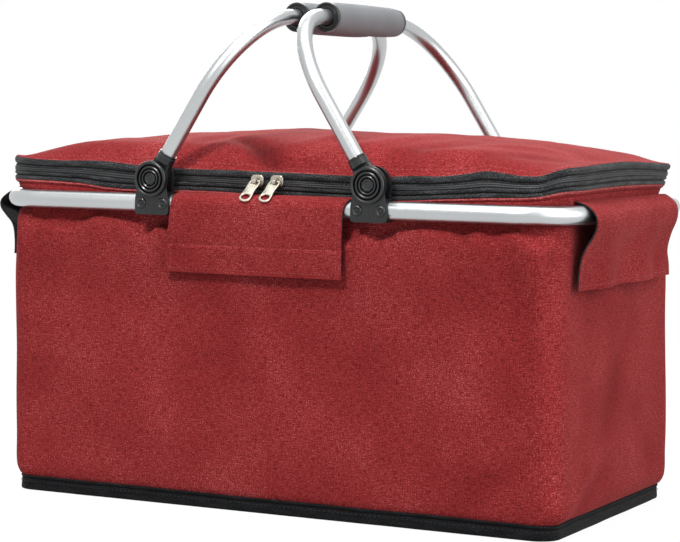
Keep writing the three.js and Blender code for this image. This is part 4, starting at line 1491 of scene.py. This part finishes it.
def makeFlap(name):
    facts = flaps[name]
    edge = facts["edges"][0]
    length = sum(math.dist(a, b) for a, b in zip(edge, edge[1:])) / 1000
    width = facts["high"][0][1] - facts["low"][0][1]
    facts["length"] = length
    bm = gridOf(*flaps["steps"])
    layCloth(bm, lambda co, normal: ((co.x + 1) / 2 * width + facts["seed"], (co.y - 1) / 2 * length))
    for vert in bm.verts:
        vert.co = flapPoint(facts, (vert.co.x + 1) / 2, (1 - vert.co.y) / 2)
    out = Vector((*facts["out"], 0))
    faceAlong(bm, out)
    nodes = [f"flap_sleeve_{name}", f"flap_tab_{name}"]
    flap = makePiece("flap_" + name, bm, [trimCloth, backingCloth], nodes)
    thicken(flap, flaps["thickness"], innerMaterial=1, edgeMaterial=1)
    inset, drop = flaps["seamInset"]
    shares = [k / flaps["seamPoints"] for k in range(flaps["seamPoints"] + 1)]
    s0, s1, t1 = inset / width, 1 - inset / width, 1 - drop / length
    lines = [[(s, mix(flaps["seamStart"], t1, k)) for k in shares] for s in (s0, s1)]
    for t in [t1, 1 - facts["hem"] / length] if facts["hem"] else [t1]:
        lines.append([(mix(s0, s1, k), t) for k in shares])
    routes = [[(flapPoint(facts, s, t), flapNormal(facts, s, t)) for s, t in line] for line in lines]
    seam = stitches("flap_stitches_" + name, routes, flaps["stitch"], 0.00005)
    for piece in (flap, seam):
        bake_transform(piece)


for name in ("front", "back", "left", "right"):
    makeFlap(name)
print("flaps")

# Zip sliders and pulls, drawn with the tape's face at y = 0 and the middle of the zip at z = 0
slider = {
    "places": {"left": -0.0086, "right": 0.0081},
    "zipCentre": 0.2524,
    "face": 0.1222,
    "clear": 0.0003,
    "size": (0.0108, 0.0088, 0.0024),
    "corner": 0.0030,
    "soft": 0.0006,
    "pullSoft": 0.00028,
    "lug": (0.0024, 0.0034, 0.0056),
    "lugReach": 0.0024,
    "lugDrop": 0.0008,
    "knuckle": (0.0022, 0.0023),
    "eye": 0.00125,
    "pullTilt": 45,
    "pullSkew": -8,
    # pairs of half width and place along the pull, then its round end
    "pullSides": metres([
        (3.0, 1.8), (4.2, 0.8), (4.9, -1.5), (4.8, -4.0), (4.4, -7.5), (4.5, -11.0), (5.0, -13.5),
    ]),
    "pullEnd": (-0.0160, 0.0053, 0.0042),
    "pullHalf": 0.0005,
    "window": (0.0066, 0.0028, 0.01),
    "windowPlace": (0, -0.0013, 0),
    "hole": (0.0027, 1.35, -0.0158),
}


def makeSliderBody(name, stand, bar):
    width, height, thick = slider["size"]
    face = -slider["clear"] - thick
    bm = boxAt((width, thick, height), (0, -slider["clear"] - thick / 2, 0))
    upright = [e for e in bm.edges if abs(e.verts[0].co.y - e.verts[1].co.y) > 0.001]
    ops.bevel(bm, geom=upright, offset=slider["corner"], affect="EDGES", segments=6, profile=0.5, material=-1)
    body = makePiece("slider_body_" + name, tidyShell(bm), [nickel])
    soften(body, slider["soft"], 3, 50)
    settle(body)
    cutWith(body, boxAt(slider["lug"], (0, face - slider["lugReach"] / 2 + 0.0005, -0.0004)), "UNION")
    radius, depth = slider["knuckle"]
    cutWith(body, rodAt(radius, depth, 24, bar, "X"), "UNION")
    cutWith(body, rodAt(slider["eye"], 0.006, 20, bar, "X"))
    putPiece(body, stand, "zip_slider_" + name, "slider_" + name)


def makePull(name, stand, bar):
    half = slider["pullHalf"]
    centre, wide, tall = slider["pullEnd"]
    outline = slider["pullSides"] + arc(0, centre, wide, 0.0, -math.pi, 12, tall)[1:-1]
    outline += [(-x, y) for x, y in reversed(slider["pullSides"])]
    bm = plateOf([(x, y, -half) for x, y in outline], (0, 0, 2 * half))
    pull = makePiece("pull_" + name, bm, [nickel])
    cutWith(pull, boxAt(slider["window"], slider["windowPlace"]))
    radius, stretch, place = slider["hole"]
    hole = rodAt(radius, 0.01, 28)
    ops.transform(hole, matrix=Matrix.Diagonal((stretch, 1, 1, 1)), verts=hole.verts)
    ops.translate(hole, vec=(0, place, 0), verts=hole.verts)
    cutWith(pull, hole)
    soften(pull, slider["pullSoft"], 2, 50)
    settle(pull)
    lean = Matrix.Rotation(math.radians(slider["pullSkew"]), 4, "Z")
    tilt = Matrix.Rotation(math.radians(90 - slider["pullTilt"]), 4, "X")
    putPiece(pull, stand @ Matrix.Translation(bar) @ tilt @ lean, "zip_pull_" + name, "pull_" + name)


for name, x in slider["places"].items():
    stand = Matrix.Translation((x, -slider["face"], slider["zipCentre"]))
    bar = (0, -slider["clear"] - slider["size"][2] - slider["lugReach"], -slider["lugDrop"])
    makeSliderBody(name, stand, bar)
    makePull(name, stand, bar)
print("sliders")

# CAD nodes that keep their own shape
keptShapes = {"base_board": boardStock, "rim_joiner_front": tubeMetal, "rim_joiner_back": tubeMetal}
for node, mat in keptShapes.items():
    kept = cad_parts[node].data.materials
    kept.clear()
    kept.append(mat)


# White floor: it fades into the background, and keeps a light shadow near the basket
def addFloor(facts):
    bm = gridOf(1, 1, facts["floorSize"])
    ops.translate(bm, vec=(0, 0, -facts["floorDrop"]), verts=bm.verts)
    floor = newObject("floor", bm)
    mat = newMaterial("floor", Roughness=0.9, Specular_IOR_Level=0.0)
    shader = mat.node_tree.nodes["Principled BSDF"]
    shader.inputs["Base Color"].default_value = (facts["floorShade"],) * 3 + (1.0,)
    place = addNode(mat, "TexCoord").outputs["Object"]
    far = addNode(mat, "VectorMath", {0: place}, operation="LENGTH").outputs["Value"]
    share = spread(mat, far, *facts["fade"], facts["glowShare"], 1.0)
    glow = addNode(mat, "Emission", {"Strength": spread(mat, far, *facts["fade"], facts["glowNear"], 1.0)})
    amount = calc(mat, "MULTIPLY", seenRays(mat), share)
    both = addNode(mat, "MixShader", {0: amount, 1: shader.outputs[0], 2: glow.outputs[0]})
    mat.node_tree.links.new(both.outputs[0], mat.node_tree.nodes["Material Output"].inputs["Surface"])
    floor.data.materials.append(mat)


addFloor(studio)
print("finished")
